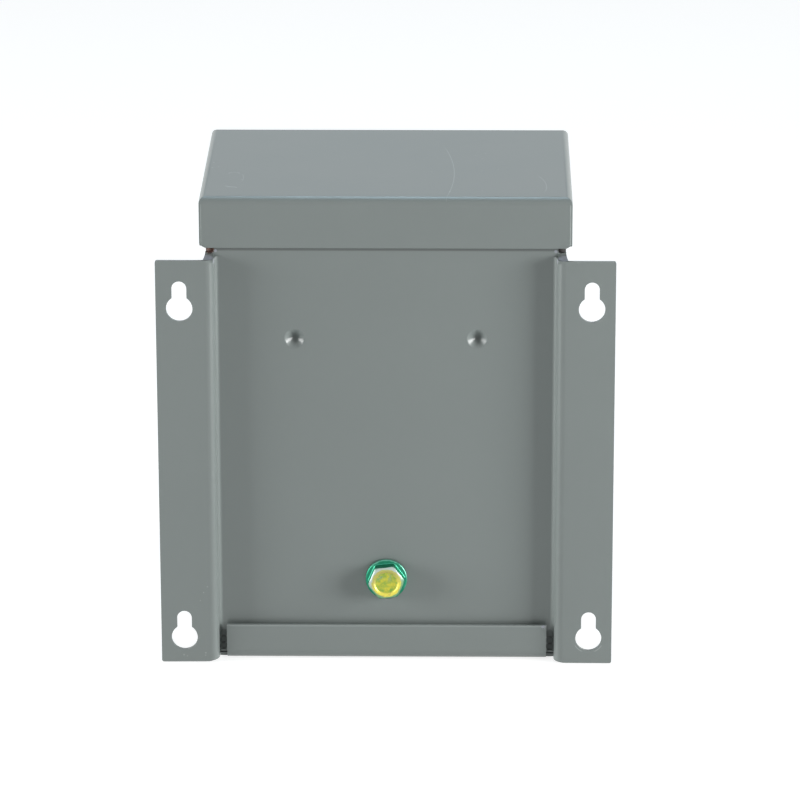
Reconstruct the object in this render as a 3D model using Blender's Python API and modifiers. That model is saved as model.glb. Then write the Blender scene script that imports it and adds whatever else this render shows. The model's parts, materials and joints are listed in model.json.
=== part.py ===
"""Small wall-mounted dry-type transformer in a rain-hooded sheet-steel case.

Metres, +Z up.  The wiring cover faces -Y, the wall plane is the highest Y, and the origin is
the middle of the foot of the overall box.  Places are worked out as depths from the wall plane.
"""
import math

import bmesh
import bpy
from mathutils import Matrix, Vector

# ---------------------------------------------------------------- driving dimensions
SHEET = 0.0012                  # sheet steel of every folded part
FIT_GAP = 0.0003                # clearance between pieces that touch
BEND_INNER_RADIUS = 0.0015      # inside radius of the press-brake bends
FLANGE_BEND_INNER_RADIUS = 0.0026   # where a mounting flange turns in to the channel
BASE_BEND_INNER_RADIUS = 0.0030     # where the bottom plate turns up behind the panel

CASE_HALF_WIDTH = 0.0686        # outside of the case sides
CASE_DEPTH = 0.1022             # wall plane to the case front's outer face
CASE_TOP = 0.1850
CASE_REAR_FLANGE = 0.0130

FLANGE_REACH = 0.0189           # mounting flanges beyond the case sides
FLANGE_TOP_GAP = 0.0037         # flange's upper edge to the hood lip
FLANGE_CORNER_RADIUS = 0.0008
CHANNEL_INSET = 0.0035          # channel's side inside the case side
CHANNEL_DEPTH = 0.0060          # shallow channel between the flanges
PANEL_FOOT = 0.0029             # lower edge of the channel's panel
SHELF_RISE = 0.0019             # drawn shelf that closes the top of the channel's step
SHELF_FLARE = 0.0008
RELIEF_HEIGHT = 0.0017          # bend relief just under the hood lip
RELIEF_INSET = 0.0005           # relief's blind end, outside the channel's side

KEYHOLE_EDGE = 0.0090           # keyhole to the flange's outer edge
KEYHOLE_TOP_MARGIN = 0.0191     # upper keyhole to the flange's upper edge
KEYHOLE_LOW_Z = 0.0103
KEYHOLE_RADIUS = 0.00505
KEYHOLE_SLOT_RADIUS = 0.00284
KEYHOLE_SLOT_RISE = 0.0080

DIMPLE_X = 0.0349
DIMPLE_DROP = 0.0365            # below the hood lip
DIMPLE_RADIUS = 0.0038
DIMPLE_DEPTH = 0.0017
DIMPLE_BOSS_SHARES = (0.3, 0.95, 1.25)      # of the dimple's radius: at tip, shoulder and foot
DIMPLE_HOLLOW_SHARES = (0.2, 0.85, 1.1)
DIMPLE_POCKET_SHARES = (0.5, 1.4)           # at tip and foot

HOOD_SIDE_GAP = 0.0011          # hood over the case sides
HOOD_TOP_GAP = 0.0008           # hood over the case top
HOOD_FACE_GAP = 0.0004          # hood lips to the case front and the back panel
HOOD_LIP_HEIGHT = 0.0200
HOOD_SEAM_INSET = 0.0008        # open corner seam, inward of the hood's side
HOOD_LIP_CLIP = (0.0023, 0.0013)        # run and rise of a lip's clipped corner

BASE_LIP_INSET = 0.0029         # bottom plate's rear lip, inside the channel's side
BASE_LIP_HEIGHT = 0.0144
BASE_LIP_GAP = 0.0020           # lip to the panel
BASE_SIDE_LIP_HEIGHT = 0.0110

WINDOW_MARGIN = 0.0106          # wiring opening's side to the case side
WINDOW_TOP_MARGIN = 0.0130      # wiring opening's top to the barrier
WINDOW_LOW_Z = 0.0160
COVER_FOOT = 0.0015
COVER_LAP = 0.0120              # cover above the wiring opening
COVER_RETURN = 0.0160           # cover flanges along the case sides

SCREW_SHANK_RADIUS = 0.0020
SCREW_LENGTH = 0.0095
SCREW_WASHER_RADIUS = 0.0042
SCREW_WASHER_HEIGHT = 0.0007
SCREW_HEX_FLATS = 0.00635
SCREW_HEX_HEIGHT = 0.0019
COVER_SCREW_INSET = 0.0136      # from the case side
HOOD_SCREW_INSET = 0.0186
WASHER_RIM_SHARES = (0.94, 0.6)             # top radius and shoulder height of a washer face
HEX_TOP_SHARES = (0.48, 1.02, 0.8)          # chamfer cone: flats, corner radius and height

KNOCKOUT_RADIUS = 0.0111        # half-inch conduit knockout
SIDE_KNOCKOUT_Z = 0.0330
SIDE_KNOCKOUT_PITCH = 0.0400
BASE_KNOCKOUT_PITCH = 0.0600

RATING_PLATE_WIDTH = 0.0760
RATING_PLATE_HEIGHT = 0.0460
RATING_PLATE_THICKNESS = 0.0005
RATING_PLATE_DROP = 0.0210      # below the hood lip

LAMINATION_UNIT = 0.01905       # window width of the E-I lamination
STACK_THICKNESS = 0.0400
CORE_BOLT_RADIUS = 0.0022
CORE_BOLT_HEX_FLATS = 0.0080
CORE_BOLT_HEX_HEIGHT = 0.0030
CORE_BOLT_INSET = 0.0095
BOBBIN_WALL = 0.0015
SECONDARY_BUILD = 0.0060
WRAP_THICKNESS = 0.0006
COIL_CLEARANCE = 0.00185        # coil to the core's outer legs

POTTING_HEADROOM = 0.0135       # pour below the case top
CORE_COVER = 0.00125            # pour around the top of the core
CORE_FLOOR = 0.0112             # pour beneath the core
BARRIER_THICKNESS = 0.0015      # plate between the wiring space and the potting
CORNER_RELIEF = 0.0018          # bevel of what sits in the case's rounded corners

LEAD_RADIUS = 0.0016
LEAD_EDGE = 0.00325             # outermost lead to the coil's outer face
LEAD_STRAIGHT = 0.0100          # straight run below the barrier
LEAD_SWEEP = 0.0190             # reach of the slack bend towards the middle
LEAD_BEND_SHARES = ((0.3, 0.1, 0.5), (0.7, 0.47, 0.92), (1.0, 1.0, 1.0))  # drift, sweep, drop
PRIMARY_LEAD_ENDS_Z = (0.022, 0.028, 0.025, 0.030)
PRIMARY_LEAD_DRIFTS = (0.005, 0.002, -0.003, -0.004)
SECONDARY_LEAD_ENDS_Z = (0.030, 0.021, 0.027, 0.023)
SECONDARY_LEAD_DRIFTS = (0.003, -0.002, 0.002, -0.005)
STRAND_RADIUS = 0.0010
STRAND_LENGTH = 0.0090
BUSHING_END = 0.0070            # outermost lead to the end of the bushing's slot
BUSHING_HALF_WIDTH = 0.0035
BUSHING_FLANGE = 0.0025

GROUND_Z = 0.0328
GROUND_SHANK_RADIUS = 0.0039
GROUND_SHANK_LENGTH = 0.0180
GROUND_WASHER_RADIUS = 0.0081
GROUND_WASHER_HEIGHT = 0.0011
GROUND_HEX_FLATS = 0.0126
GROUND_HEX_HEIGHT = 0.0044
GROUND_DISH_RADIUS = 0.0040
GROUND_DISH_DEPTH = 0.0006
GROUND_DISH_FLOOR_SHARE = 0.8
GROUND_TURN = math.radians(-23.0)
GROUND_NUT_HEIGHT = 0.0060
GROUND_NUT_TURN = math.radians(11.5)
LOCK_WASHER_THICKNESS = 0.0008
LOCK_WASHER_TEETH = 12
TERMINAL_THICKNESS = 0.0010
TERMINAL_RADIUS = 0.0078
TERMINAL_BARREL_RADIUS = 0.0026
TERMINAL_BARREL_LENGTH = 0.0110
GROUND_TAP_BEND = (0.0007, 0.0018, 0.0050)  # ground lead as it leaves the core: depth, two drops
GROUND_LEAD_SWING = ((0.004, 0.003, 0.70), (0.011, 0.010, 0.22))  # sideways, back, share of the drop
GROUND_LEAD_ENTRY = ((0.008, 0.001), (0.002, 0.0))  # sideways and depth, before the barrel

BEND_SEGMENTS = 5
CORNER_SEGMENTS = 3
ROUND = 28                      # sides of a round hole or disc
SMALL_ROUND = 14
STRAND_SIDES = 8
TURNED_STEPS = 18
DIMPLE_STEPS = 24
COIL_CORNER_SEGMENTS = 3
LEAD_SPACING = 5.0              # lead radii between the points of a curve
GROUND_LEAD_SPACING = 2.5
SHARP_ANGLE = math.radians(40)
MERGE_DISTANCE = 0.00001

# ---------------------------------------------------------------- places that follow from them
BEND_RADIUS = BEND_INNER_RADIUS + SHEET / 2             # along the middle of the sheet
BEND_OUTER_RADIUS = BEND_INNER_RADIUS + SHEET
FLANGE_BEND_RADIUS = FLANGE_BEND_INNER_RADIUS + SHEET / 2
PANEL_DEPTH = CHANNEL_DEPTH + SHEET                     # inner face of the back panel
FLANGE_HALF_WIDTH = CASE_HALF_WIDTH + FLANGE_REACH
CHANNEL_HALF_WIDTH = CASE_HALF_WIDTH - CHANNEL_INSET
KEYHOLE_X = FLANGE_HALF_WIDTH - KEYHOLE_EDGE

HOOD_HALF_WIDTH = CASE_HALF_WIDTH + HOOD_SIDE_GAP + SHEET
HOOD_SEAM_HALF_WIDTH = HOOD_HALF_WIDTH - HOOD_SEAM_INSET
HOOD_TOP = CASE_TOP + HOOD_TOP_GAP + SHEET
HOOD_LIP_FOOT = HOOD_TOP - HOOD_LIP_HEIGHT
HOOD_REAR_DEPTH = CHANNEL_DEPTH - HOOD_FACE_GAP - SHEET # wall plane to the rear lip's outer face
HOOD_DEPTH = CASE_DEPTH + HOOD_FACE_GAP + SHEET         # wall plane to the front lip's face
FLANGE_HEIGHT = HOOD_LIP_FOOT - FLANGE_TOP_GAP
KEYHOLE_HIGH_Z = FLANGE_HEIGHT - KEYHOLE_TOP_MARGIN
DIMPLE_Z = HOOD_LIP_FOOT - DIMPLE_DROP

CASE_REAR = PANEL_DEPTH + FIT_GAP
CASE_INNER_HALF_WIDTH = CASE_HALF_WIDTH - SHEET
CASE_INNER_DEPTH = CASE_DEPTH - SHEET
INNER_REAR = CASE_REAR + SHEET + FIT_GAP                # what fits inside starts here
INNER_FRONT = CASE_INNER_DEPTH - FIT_GAP
INNER_HALF_WIDTH = CASE_INNER_HALF_WIDTH - FIT_GAP
INNER_DEPTH = (INNER_REAR + INNER_FRONT) / 2            # middle of the inner space
SCREW_HEAD_HEIGHT = SCREW_WASHER_HEIGHT + SCREW_HEX_HEIGHT
OVERALL_DEPTH = HOOD_DEPTH + FIT_GAP + SCREW_HEAD_HEIGHT
WALL_Y = OVERALL_DEPTH / 2
BASE_LIP_HALF_WIDTH = CHANNEL_HALF_WIDTH - BASE_LIP_INSET
BASE_LIP_DEPTH = CHANNEL_DEPTH - BASE_LIP_GAP - SHEET   # wall plane to the lip's outer face
BASE_FLAT_DEPTH = BASE_LIP_DEPTH + SHEET + BASE_BEND_INNER_RADIUS
HOOD_SCREW_X = CASE_HALF_WIDTH - HOOD_SCREW_INSET
HOOD_SCREW_Z = (HOOD_LIP_FOOT + CASE_TOP - BEND_OUTER_RADIUS) / 2
RATING_PLATE_FOOT = HOOD_LIP_FOOT - RATING_PLATE_DROP - RATING_PLATE_HEIGHT

CORE_HALF_WIDTH = 3 * LAMINATION_UNIT                   # proportions of a scrapless E-I sheet
TONGUE_HALF_WIDTH = LAMINATION_UNIT
POTTING_TOP = CASE_TOP - POTTING_HEADROOM
CORE_TOP = POTTING_TOP - CORE_COVER
WINDOW_HEAD = CORE_TOP - LAMINATION_UNIT
WINDOW_FOOT = WINDOW_HEAD - 3 * LAMINATION_UNIT
CORE_FOOT = WINDOW_FOOT - LAMINATION_UNIT
CORE_REAR = INNER_DEPTH - STACK_THICKNESS / 2
CORE_FRONT = INNER_DEPTH + STACK_THICKNESS / 2
POTTING_FOOT = CORE_FOOT - CORE_FLOOR
BARRIER_FOOT = POTTING_FOOT - FIT_GAP - BARRIER_THICKNESS
BOBBIN_BUILD = FIT_GAP + BOBBIN_WALL
SECONDARY_START = BOBBIN_BUILD + FIT_GAP
INNER_WRAP_START = SECONDARY_START + SECONDARY_BUILD + FIT_GAP
PRIMARY_START = INNER_WRAP_START + WRAP_THICKNESS + FIT_GAP
COIL_BUILD = LAMINATION_UNIT - COIL_CLEARANCE
OUTER_WRAP_START = COIL_BUILD - WRAP_THICKNESS
PRIMARY_BUILD = OUTER_WRAP_START - FIT_GAP - PRIMARY_START
COIL_HALF_WIDTH = TONGUE_HALF_WIDTH + COIL_BUILD
WINDING_FOOT = WINDOW_FOOT + BOBBIN_BUILD + FIT_GAP
WINDING_HEAD = WINDOW_HEAD - BOBBIN_BUILD - FIT_GAP

WINDOW_HALF_WIDTH = CASE_HALF_WIDTH - WINDOW_MARGIN     # wiring opening in the case front
WINDOW_HIGH_Z = BARRIER_FOOT - WINDOW_TOP_MARGIN
COVER_DEPTH = CASE_DEPTH + FIT_GAP + SHEET
COVER_TOP = WINDOW_HIGH_Z + COVER_LAP
COVER_SCREW_X = CASE_HALF_WIDTH - COVER_SCREW_INSET
COVER_SCREW_LOW_Z = WINDOW_LOW_Z / 2
COVER_SCREW_HIGH_Z = (WINDOW_HIGH_Z + COVER_TOP) / 2

PRIMARY_LEAD_DEPTH = CORE_FRONT + PRIMARY_START + PRIMARY_BUILD / 2
SECONDARY_LEAD_DEPTH = CORE_REAR - SECONDARY_START - SECONDARY_BUILD / 2
LEAD_COUNT = len(PRIMARY_LEAD_ENDS_Z)
LEAD_PITCH = 2 * (COIL_HALF_WIDTH - LEAD_EDGE) / (LEAD_COUNT - 1)
LEAD_X = [(index - (LEAD_COUNT - 1) / 2) * LEAD_PITCH for index in range(LEAD_COUNT)]
BUSHING_HALF_LENGTH = LEAD_X[-1] + BUSHING_END
GROUND_LEAD_X = (LEAD_X[-1] + LEAD_X[-2]) / 2
GROUND_TAP_Z = CORE_FOOT + LAMINATION_UNIT / 2          # where the ground lead meets the core
GROUND_HEAD_DEPTH = CHANNEL_DEPTH - FIT_GAP             # underside of the bolt's washer face
LOCK_WASHER_SEAT = PANEL_DEPTH + FIT_GAP
TERMINAL_SEAT = LOCK_WASHER_SEAT + LOCK_WASHER_THICKNESS + FIT_GAP
GROUND_NUT_SEAT = TERMINAL_SEAT + TERMINAL_THICKNESS + FIT_GAP
GROUND_BORE = GROUND_SHANK_RADIUS + FIT_GAP
BARREL_DEPTH = TERMINAL_SEAT + TERMINAL_BARREL_RADIUS
BARREL_START = TERMINAL_RADIUS + SHEET
BARREL_END = BARREL_START + TERMINAL_BARREL_LENGTH


# ---------------------------------------------------------------- helpers
def clear_scene():
    for item in list(bpy.data.objects):
        bpy.data.objects.remove(item, do_unlink=True)


def new_collection(name):
    collection = bpy.data.collections.new(name)
    bpy.context.scene.collection.children.link(collection)
    return collection


clear_scene()
PARTS = new_collection("wall_transformer")
CUTTERS = new_collection("cutters")
CUTTERS.hide_render = True
ASSEMBLY = bpy.data.objects.new("wall_transformer_frame", None)
PARTS.objects.link(ASSEMBLY)


def srgb(red, green, blue):
    """Linear colour of an 8-bit display colour."""
    def linear(value):
        share = value / 255
        return share / 12.92 if share <= 0.04045 else ((share + 0.055) / 1.055) ** 2.4
    return (linear(red), linear(green), linear(blue), 1.0)


def make_material(name, colour, roughness, metallic):
    material = bpy.data.materials.new(name)
    material.use_nodes = True
    shader = material.node_tree.nodes["Principled BSDF"]
    shader.inputs["Base Color"].default_value = colour
    shader.inputs["Roughness"].default_value = roughness
    shader.inputs["Metallic"].default_value = metallic
    return material


PAINT = make_material("grey_paint", srgb(134, 141, 139), 0.45, 0.0)
ZINC = make_material("zinc_plate", srgb(176, 178, 172), 0.35, 1.0)
GREEN_ZINC = make_material("green_dyed_zinc", srgb(60, 140, 105), 0.35, 0.8)
PLATE = make_material("blank_aluminium", srgb(190, 192, 194), 0.4, 1.0)
FIBRE = make_material("vulcanised_fibre", srgb(92, 84, 74), 0.7, 0.0)
RUBBER = make_material("black_rubber", srgb(28, 28, 28), 0.8, 0.0)
RESIN = make_material("sand_filled_resin", srgb(58, 54, 50), 0.75, 0.0)
CORE_STEEL = make_material("silicon_steel", srgb(96, 98, 102), 0.5, 1.0)
NYLON = make_material("natural_nylon", srgb(222, 214, 190), 0.5, 0.0)
COPPER = make_material("enamelled_copper", srgb(156, 84, 44), 0.35, 1.0)
PAPER = make_material("insulating_paper", srgb(196, 168, 118), 0.8, 0.0)
PRIMARY_WIRE = make_material("black_lead", srgb(30, 30, 32), 0.5, 0.0)
SECONDARY_WIRE = make_material("white_lead", srgb(212, 210, 204), 0.5, 0.0)
GROUND_WIRE = make_material("green_lead", srgb(40, 120, 62), 0.5, 0.0)
TIN = make_material("tinned_copper", srgb(186, 180, 170), 0.35, 1.0)


def place(item, collection, material=None):
    collection.objects.link(item)
    if material is not None:
        item.data.materials.append(material)
    if collection is PARTS:
        item.parent = ASSEMBLY
    else:
        item.hide_render = True
        item.display_type = 'WIRE'
    return item


def mesh_object(name, shape, material=None):
    """Object from a bmesh: a part if it has a material, or else a cutter or a piece to join."""
    mesh = bpy.data.meshes.new(name)
    shape.to_mesh(mesh)
    shape.free()
    collection = CUTTERS if material is None else PARTS
    return place(bpy.data.objects.new(name, mesh), collection, material)


def at(x, depth, z):
    """Point at a depth from the wall plane."""
    return Vector((x, WALL_Y - depth, z))


def block(name, low, high, material=None, bevel=0.0, vertical_only=False):
    """Box between two corners given as (x, depth, z)."""
    first, second = at(*low), at(*high)
    size = Vector([abs(a - b) for a, b in zip(first, second)])
    shape = bmesh.new()
    bmesh.ops.create_cube(shape, size=1.0, matrix=Matrix.Diagonal((*size, 1.0)))
    if bevel:
        edges = [edge for edge in shape.edges
                 if not vertical_only or abs(edge.verts[0].co.z - edge.verts[1].co.z) > size.z / 2]
        bmesh.ops.bevel(shape, geom=edges, offset=bevel, segments=2, profile=0.5, affect='EDGES')
    item = mesh_object(name, shape, material)
    item.location = (first + second) / 2
    return item


def prism(name, sides, radius, start, end, material=None, turn=0.0):
    """Straight round or many-sided bar between two world points."""
    start, end = Vector(start), Vector(end)
    axis = end - start
    shape = bmesh.new()
    bmesh.ops.create_cone(shape, cap_ends=True, segments=sides, radius1=radius, radius2=radius,
                          depth=axis.length, matrix=Matrix.Rotation(turn, 4, 'Z'))
    item = mesh_object(name, shape, material)
    item.location = (start + end) / 2
    item.rotation_euler = axis.to_track_quat('Z', 'Y').to_euler()
    if sides > 6:
        item.data.shade_smooth()
        item.data.set_sharp_from_angle(angle=SHARP_ANGLE)
    return item


def turned(name, profile, start, direction, material=None, steps=TURNED_STEPS):
    """Solid of revolution: (radius, height) pairs, from the top of the axis down to its foot."""
    mesh = bpy.data.meshes.new(name)
    points = [(radius, 0.0, height) for radius, height in profile]
    mesh.from_pydata(points, [(index, index + 1) for index in range(len(points) - 1)], [])
    item = place(bpy.data.objects.new(name, mesh), CUTTERS if material is None else PARTS, material)
    item.location = start
    item.rotation_euler = Vector(direction).to_track_quat('Z', 'Y').to_euler()
    screw = item.modifiers.new("turn", 'SCREW')
    screw.steps = steps
    screw.render_steps = steps
    screw.use_merge_vertices = True
    screw.merge_threshold = MERGE_DISTANCE
    screw.use_smooth_shade = True
    return item


def modify(item, other, operation):
    boolean = item.modifiers.new(f"{operation.lower()}_{other.name}", 'BOOLEAN')
    boolean.operation = operation
    boolean.object = other
    boolean.solver = 'EXACT'


def cut(item, *cutters):
    for cutter in cutters:
        modify(item, cutter, 'DIFFERENCE')


def join(item, *others):
    for other in others:
        modify(item, other, 'UNION')


def bent_path(corners, *radii):
    """Open 2D path through the corners, with an arc at each bend; one radius can serve them all."""
    corners = [Vector(corner) for corner in corners]
    radii = radii * (len(corners) - 2) if len(radii) == 1 else radii
    points = [corners[0]]
    for before, corner, after, radius in zip(corners, corners[1:], corners[2:], radii):
        back = (before - corner).normalized()
        ahead = (after - corner).normalized()
        half = back.angle(ahead) / 2
        centre = corner + (back + ahead).normalized() * radius / math.sin(half)
        start = corner + back * radius / math.tan(half) - centre
        finish = corner + ahead * radius / math.tan(half) - centre
        sweep = start.angle_signed(finish)
        for step in range(BEND_SEGMENTS + 1):
            ray = start.copy()
            ray.rotate(Matrix.Rotation(-sweep * step / BEND_SEGMENTS, 2))
            points.append(centre + ray)
    points.append(corners[-1])
    return points


def folded(name, path, low, high, upright, material=None, corner_radius=0.0):
    """Folded sheet: an (x, depth) path drawn up from low to high, or a (depth, z) path across X."""
    shape = bmesh.new()
    rows = []
    for end in (low, high):
        if upright:
            rows.append([shape.verts.new(at(x, depth, end)) for x, depth in path])
        else:
            rows.append([shape.verts.new(at(end, depth, z)) for depth, z in path])
    for index in range(len(path) - 1):
        shape.faces.new((rows[0][index], rows[0][index + 1], rows[1][index + 1], rows[1][index]))
    if corner_radius:
        ends = [row[index] for row in rows for index in (0, -1)]
        bmesh.ops.bevel(shape, geom=ends, offset=corner_radius, segments=CORNER_SEGMENTS,
                        profile=0.5, affect='VERTICES')
    item = mesh_object(name, shape, material)
    item.data.shade_smooth()
    item.data.set_sharp_from_angle(angle=SHARP_ANGLE)
    thicken(item, SHEET)
    return item


def thicken(item, thickness):
    solidify = item.modifiers.new("thickness", 'SOLIDIFY')
    solidify.thickness = thickness
    solidify.offset = 0.0
    solidify.use_even_offset = True


def mirrored(function, *arguments):
    """The same feature on both sides of the middle plane."""
    return [function(side, *arguments) for side in (-1, 1)]


def ring_wall(name, half_x, half_y, corner_radius, wall, foot, head, material):
    """Upright rectangular tube with rounded corners around the tongue of the core."""
    middle_x, middle_y = half_x + wall / 2, half_y + wall / 2
    radius = corner_radius + wall / 2
    shape = bmesh.new()
    loop = []
    for corner in range(4):
        sign_x = 1 if corner in (0, 3) else -1
        sign_y = 1 if corner in (0, 1) else -1
        for step in range(COIL_CORNER_SEGMENTS + 1):
            angle = math.radians(90 * corner + 90 * step / COIL_CORNER_SEGMENTS)
            loop.append((sign_x * (middle_x - radius) + radius * math.cos(angle),
                         sign_y * (middle_y - radius) + radius * math.sin(angle)))
    centre = at(0, INNER_DEPTH, 0)
    rows = [[shape.verts.new((x, centre.y + y, z)) for x, y in loop] for z in (foot, head)]
    for index in range(len(loop)):
        after = (index + 1) % len(loop)
        shape.faces.new((rows[0][index], rows[0][after], rows[1][after], rows[1][index]))
    item = mesh_object(name, shape, material)
    thicken(item, wall)
    return item


def smooth_route(anchors, spacing):
    """Points along a Catmull-Rom curve through the anchors."""
    anchors = [Vector(anchor) for anchor in anchors]
    line = [2 * anchors[0] - anchors[1], *anchors, 2 * anchors[-1] - anchors[-2]]
    points = []
    for index in range(1, len(line) - 2):
        before, start, finish, after = line[index - 1:index + 3]
        pieces = max(1, round((finish - start).length / spacing))
        for step in range(pieces):
            t = step / pieces
            points.append(0.5 * (2 * start + (finish - before) * t
                                 + (2 * before - 5 * start + 4 * finish - after) * t ** 2
                                 + (3 * start - before - 3 * finish + after) * t ** 3))
    points.append(anchors[-1])
    return points


def wire(name, points, radius, material):
    curve = bpy.data.curves.new(name, 'CURVE')
    curve.dimensions = '3D'
    curve.bevel_depth = radius
    curve.bevel_resolution = 2
    curve.use_fill_caps = True
    spline = curve.splines.new('POLY')
    spline.points.add(len(points) - 1)
    for point, place_at in zip(spline.points, points):
        point.co = (*place_at, 1.0)
    return place(bpy.data.objects.new(name, curve), PARTS, material)


def hex_radius(flats):
    return flats / math.sqrt(3)


# ---------------------------------------------------------------- back plate
def keyhole(side, z):
    """Cutter for a hanging keyhole: a round hole with a slot above it."""
    half_angle = math.asin(KEYHOLE_SLOT_RADIUS / KEYHOLE_RADIUS)
    outline = []
    for step in range(ROUND + 1):
        angle = math.pi / 2 + half_angle + step / ROUND * (2 * math.pi - 2 * half_angle)
        outline.append((KEYHOLE_RADIUS * math.cos(angle), KEYHOLE_RADIUS * math.sin(angle)))
    for step in range(SMALL_ROUND + 1):
        angle = step / SMALL_ROUND * math.pi
        outline.append((KEYHOLE_SLOT_RADIUS * math.cos(angle),
                        KEYHOLE_SLOT_RISE + KEYHOLE_SLOT_RADIUS * math.sin(angle)))
    curve = bpy.data.curves.new(f"keyhole_{side}_{z}", 'CURVE')
    curve.dimensions = '2D'
    curve.fill_mode = 'BOTH'
    curve.extrude = 2 * SHEET
    spline = curve.splines.new('POLY')
    spline.points.add(len(outline) - 1)
    spline.use_cyclic_u = True
    for point, (x, y) in zip(spline.points, outline):
        point.co = (x, y, 0.0, 1.0)
    source = bpy.data.objects.new(curve.name, curve)
    CUTTERS.objects.link(source)
    mesh = bpy.data.meshes.new_from_object(source.evaluated_get(
        bpy.context.evaluated_depsgraph_get()))
    bpy.data.objects.remove(source, do_unlink=True)
    shape = bmesh.new()
    shape.from_mesh(mesh)
    bmesh.ops.remove_doubles(shape, verts=shape.verts, dist=MERGE_DISTANCE)
    bmesh.ops.recalc_face_normals(shape, faces=shape.faces)
    cutter = mesh_object(f"keyhole_cutter_{side}_{z}", shape)
    cutter.location = at(side * KEYHOLE_X, SHEET / 2, z)
    cutter.rotation_euler = (math.radians(90), 0, 0)
    return cutter


def dimple(side, raised):
    """Cone pressed into the panel: its raised inner side, or the hollow outside."""
    if raised:
        face, top, foot = PANEL_DEPTH, PANEL_DEPTH + DIMPLE_DEPTH, PANEL_DEPTH - SHEET / 2
        shares, tip_drop, shoulder = DIMPLE_BOSS_SHARES, 0.0, SHEET / 4
    else:
        face, top, foot = CHANNEL_DEPTH, CHANNEL_DEPTH + DIMPLE_DEPTH, CHANNEL_DEPTH - SHEET
        shares, tip_drop, shoulder = DIMPLE_HOLLOW_SHARES, SHEET / 8, SHEET / 6
    tip, neck, rim = [DIMPLE_RADIUS * share for share in shares]
    profile = [(0, top), (tip, top - tip_drop), (neck, face + shoulder), (rim, face), (rim, foot),
               (0, foot)]
    name = f"dimple_{'boss' if raised else 'hollow'}_{side}"
    return turned(name, profile, at(side * DIMPLE_X, 0, DIMPLE_Z), (0, -1, 0), steps=DIMPLE_STEPS)


def corner_shelf(side):
    """Drawn shelf that closes the top of the step between flange and panel."""
    shape = bmesh.new()
    rows = []
    for step in range(BEND_SEGMENTS + 1):
        angle = step / BEND_SEGMENTS * math.pi / 2
        depth = SHEET / 2 + CHANNEL_DEPTH * math.sin(angle)
        z = FLANGE_HEIGHT - SHEET / 2 + SHELF_RISE * (1 - math.cos(angle))
        outer = CASE_HALF_WIDTH + SHELF_FLARE * (1 - math.sin(angle))
        rows.append([shape.verts.new(at(side * x, depth, z))
                     for x in (CHANNEL_HALF_WIDTH + SHEET / 4, outer)])
    for row, after in zip(rows, rows[1:]):
        shape.faces.new((row[0], row[1], after[1], after[0]))
    item = mesh_object(f"corner_shelf_{side}", shape)
    thicken(item, SHEET)
    return item


def corner_relief(side):
    """Bend relief just under the hood, where flange and flat back part company."""
    head = HOOD_LIP_FOOT - SHEET / 4
    inner = CHANNEL_HALF_WIDTH + RELIEF_INSET
    outer = CASE_HALF_WIDTH + SHEET
    return block(f"corner_relief_{side}", (side * inner, CHANNEL_DEPTH - SHEET / 4, head - RELIEF_HEIGHT),
                 (side * outer, PANEL_DEPTH + SHEET, head), bevel=RELIEF_HEIGHT / 4)


def make_back_plate():
    wall = CHANNEL_HALF_WIDTH + SHEET / 2
    skin = SHEET / 2
    path = bent_path([(-FLANGE_HALF_WIDTH, skin), (-wall, skin), (-wall, CHANNEL_DEPTH + skin),
                      (wall, CHANNEL_DEPTH + skin), (wall, skin), (FLANGE_HALF_WIDTH, skin)],
                     FLANGE_BEND_RADIUS, BEND_RADIUS, BEND_RADIUS, FLANGE_BEND_RADIUS)
    plate = folded("back_plate", path, 0, FLANGE_HEIGHT, True, PAINT, FLANGE_CORNER_RADIUS)
    flat = block("back_flat", (-CASE_HALF_WIDTH, CHANNEL_DEPTH, FLANGE_HEIGHT - SHEET / 2),
                 (CASE_HALF_WIDTH, PANEL_DEPTH, CASE_TOP))
    join(plate, flat, *mirrored(corner_shelf), *mirrored(dimple, True))
    cut(plate, *mirrored(dimple, False), *mirrored(corner_relief))
    for z in (KEYHOLE_LOW_Z, KEYHOLE_HIGH_Z):
        cut(plate, *mirrored(keyhole, z))
    foot = block("panel_foot_cutter", (-CHANNEL_HALF_WIDTH, CHANNEL_DEPTH - SHEET, -SHEET),
                 (CHANNEL_HALF_WIDTH, PANEL_DEPTH + SHEET, PANEL_FOOT))
    stud = prism("ground_hole_cutter", ROUND, GROUND_SHANK_RADIUS + FIT_GAP,
                 at(0, 0, GROUND_Z), at(0, PANEL_DEPTH + SHEET, GROUND_Z))
    cut(plate, foot, stud)


# ---------------------------------------------------------------- case, base, hood and cover
def side_knockout_places():
    return [(side, INNER_DEPTH + shift * SIDE_KNOCKOUT_PITCH / 2)
            for side in (-1, 1) for shift in (-1, 1)]


def front_hole(name, x, z, radius):
    """Cutter through the front sheets."""
    return prism(name, SMALL_ROUND, radius, at(x, INNER_FRONT - 3 * SHEET, z),
                 at(x, HOOD_DEPTH + SHEET, z))


def cover_screw_places():
    return [(side * COVER_SCREW_X, z) for side in (-1, 1)
            for z in (COVER_SCREW_LOW_Z, COVER_SCREW_HIGH_Z)]


def screw_hole_cutters():
    radius = SCREW_SHANK_RADIUS + FIT_GAP
    low = [front_hole(f"low_screw_hole_{side}", side * COVER_SCREW_X, COVER_SCREW_LOW_Z, radius)
           for side in (-1, 1)]
    high = [front_hole(f"high_screw_hole_{side}", side * COVER_SCREW_X, COVER_SCREW_HIGH_Z, radius)
            for side in (-1, 1)]
    top = [front_hole(f"hood_screw_hole_{side}", side * HOOD_SCREW_X, HOOD_SCREW_Z, radius)
           for side in (-1, 1)]
    return low, high, top


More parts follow.
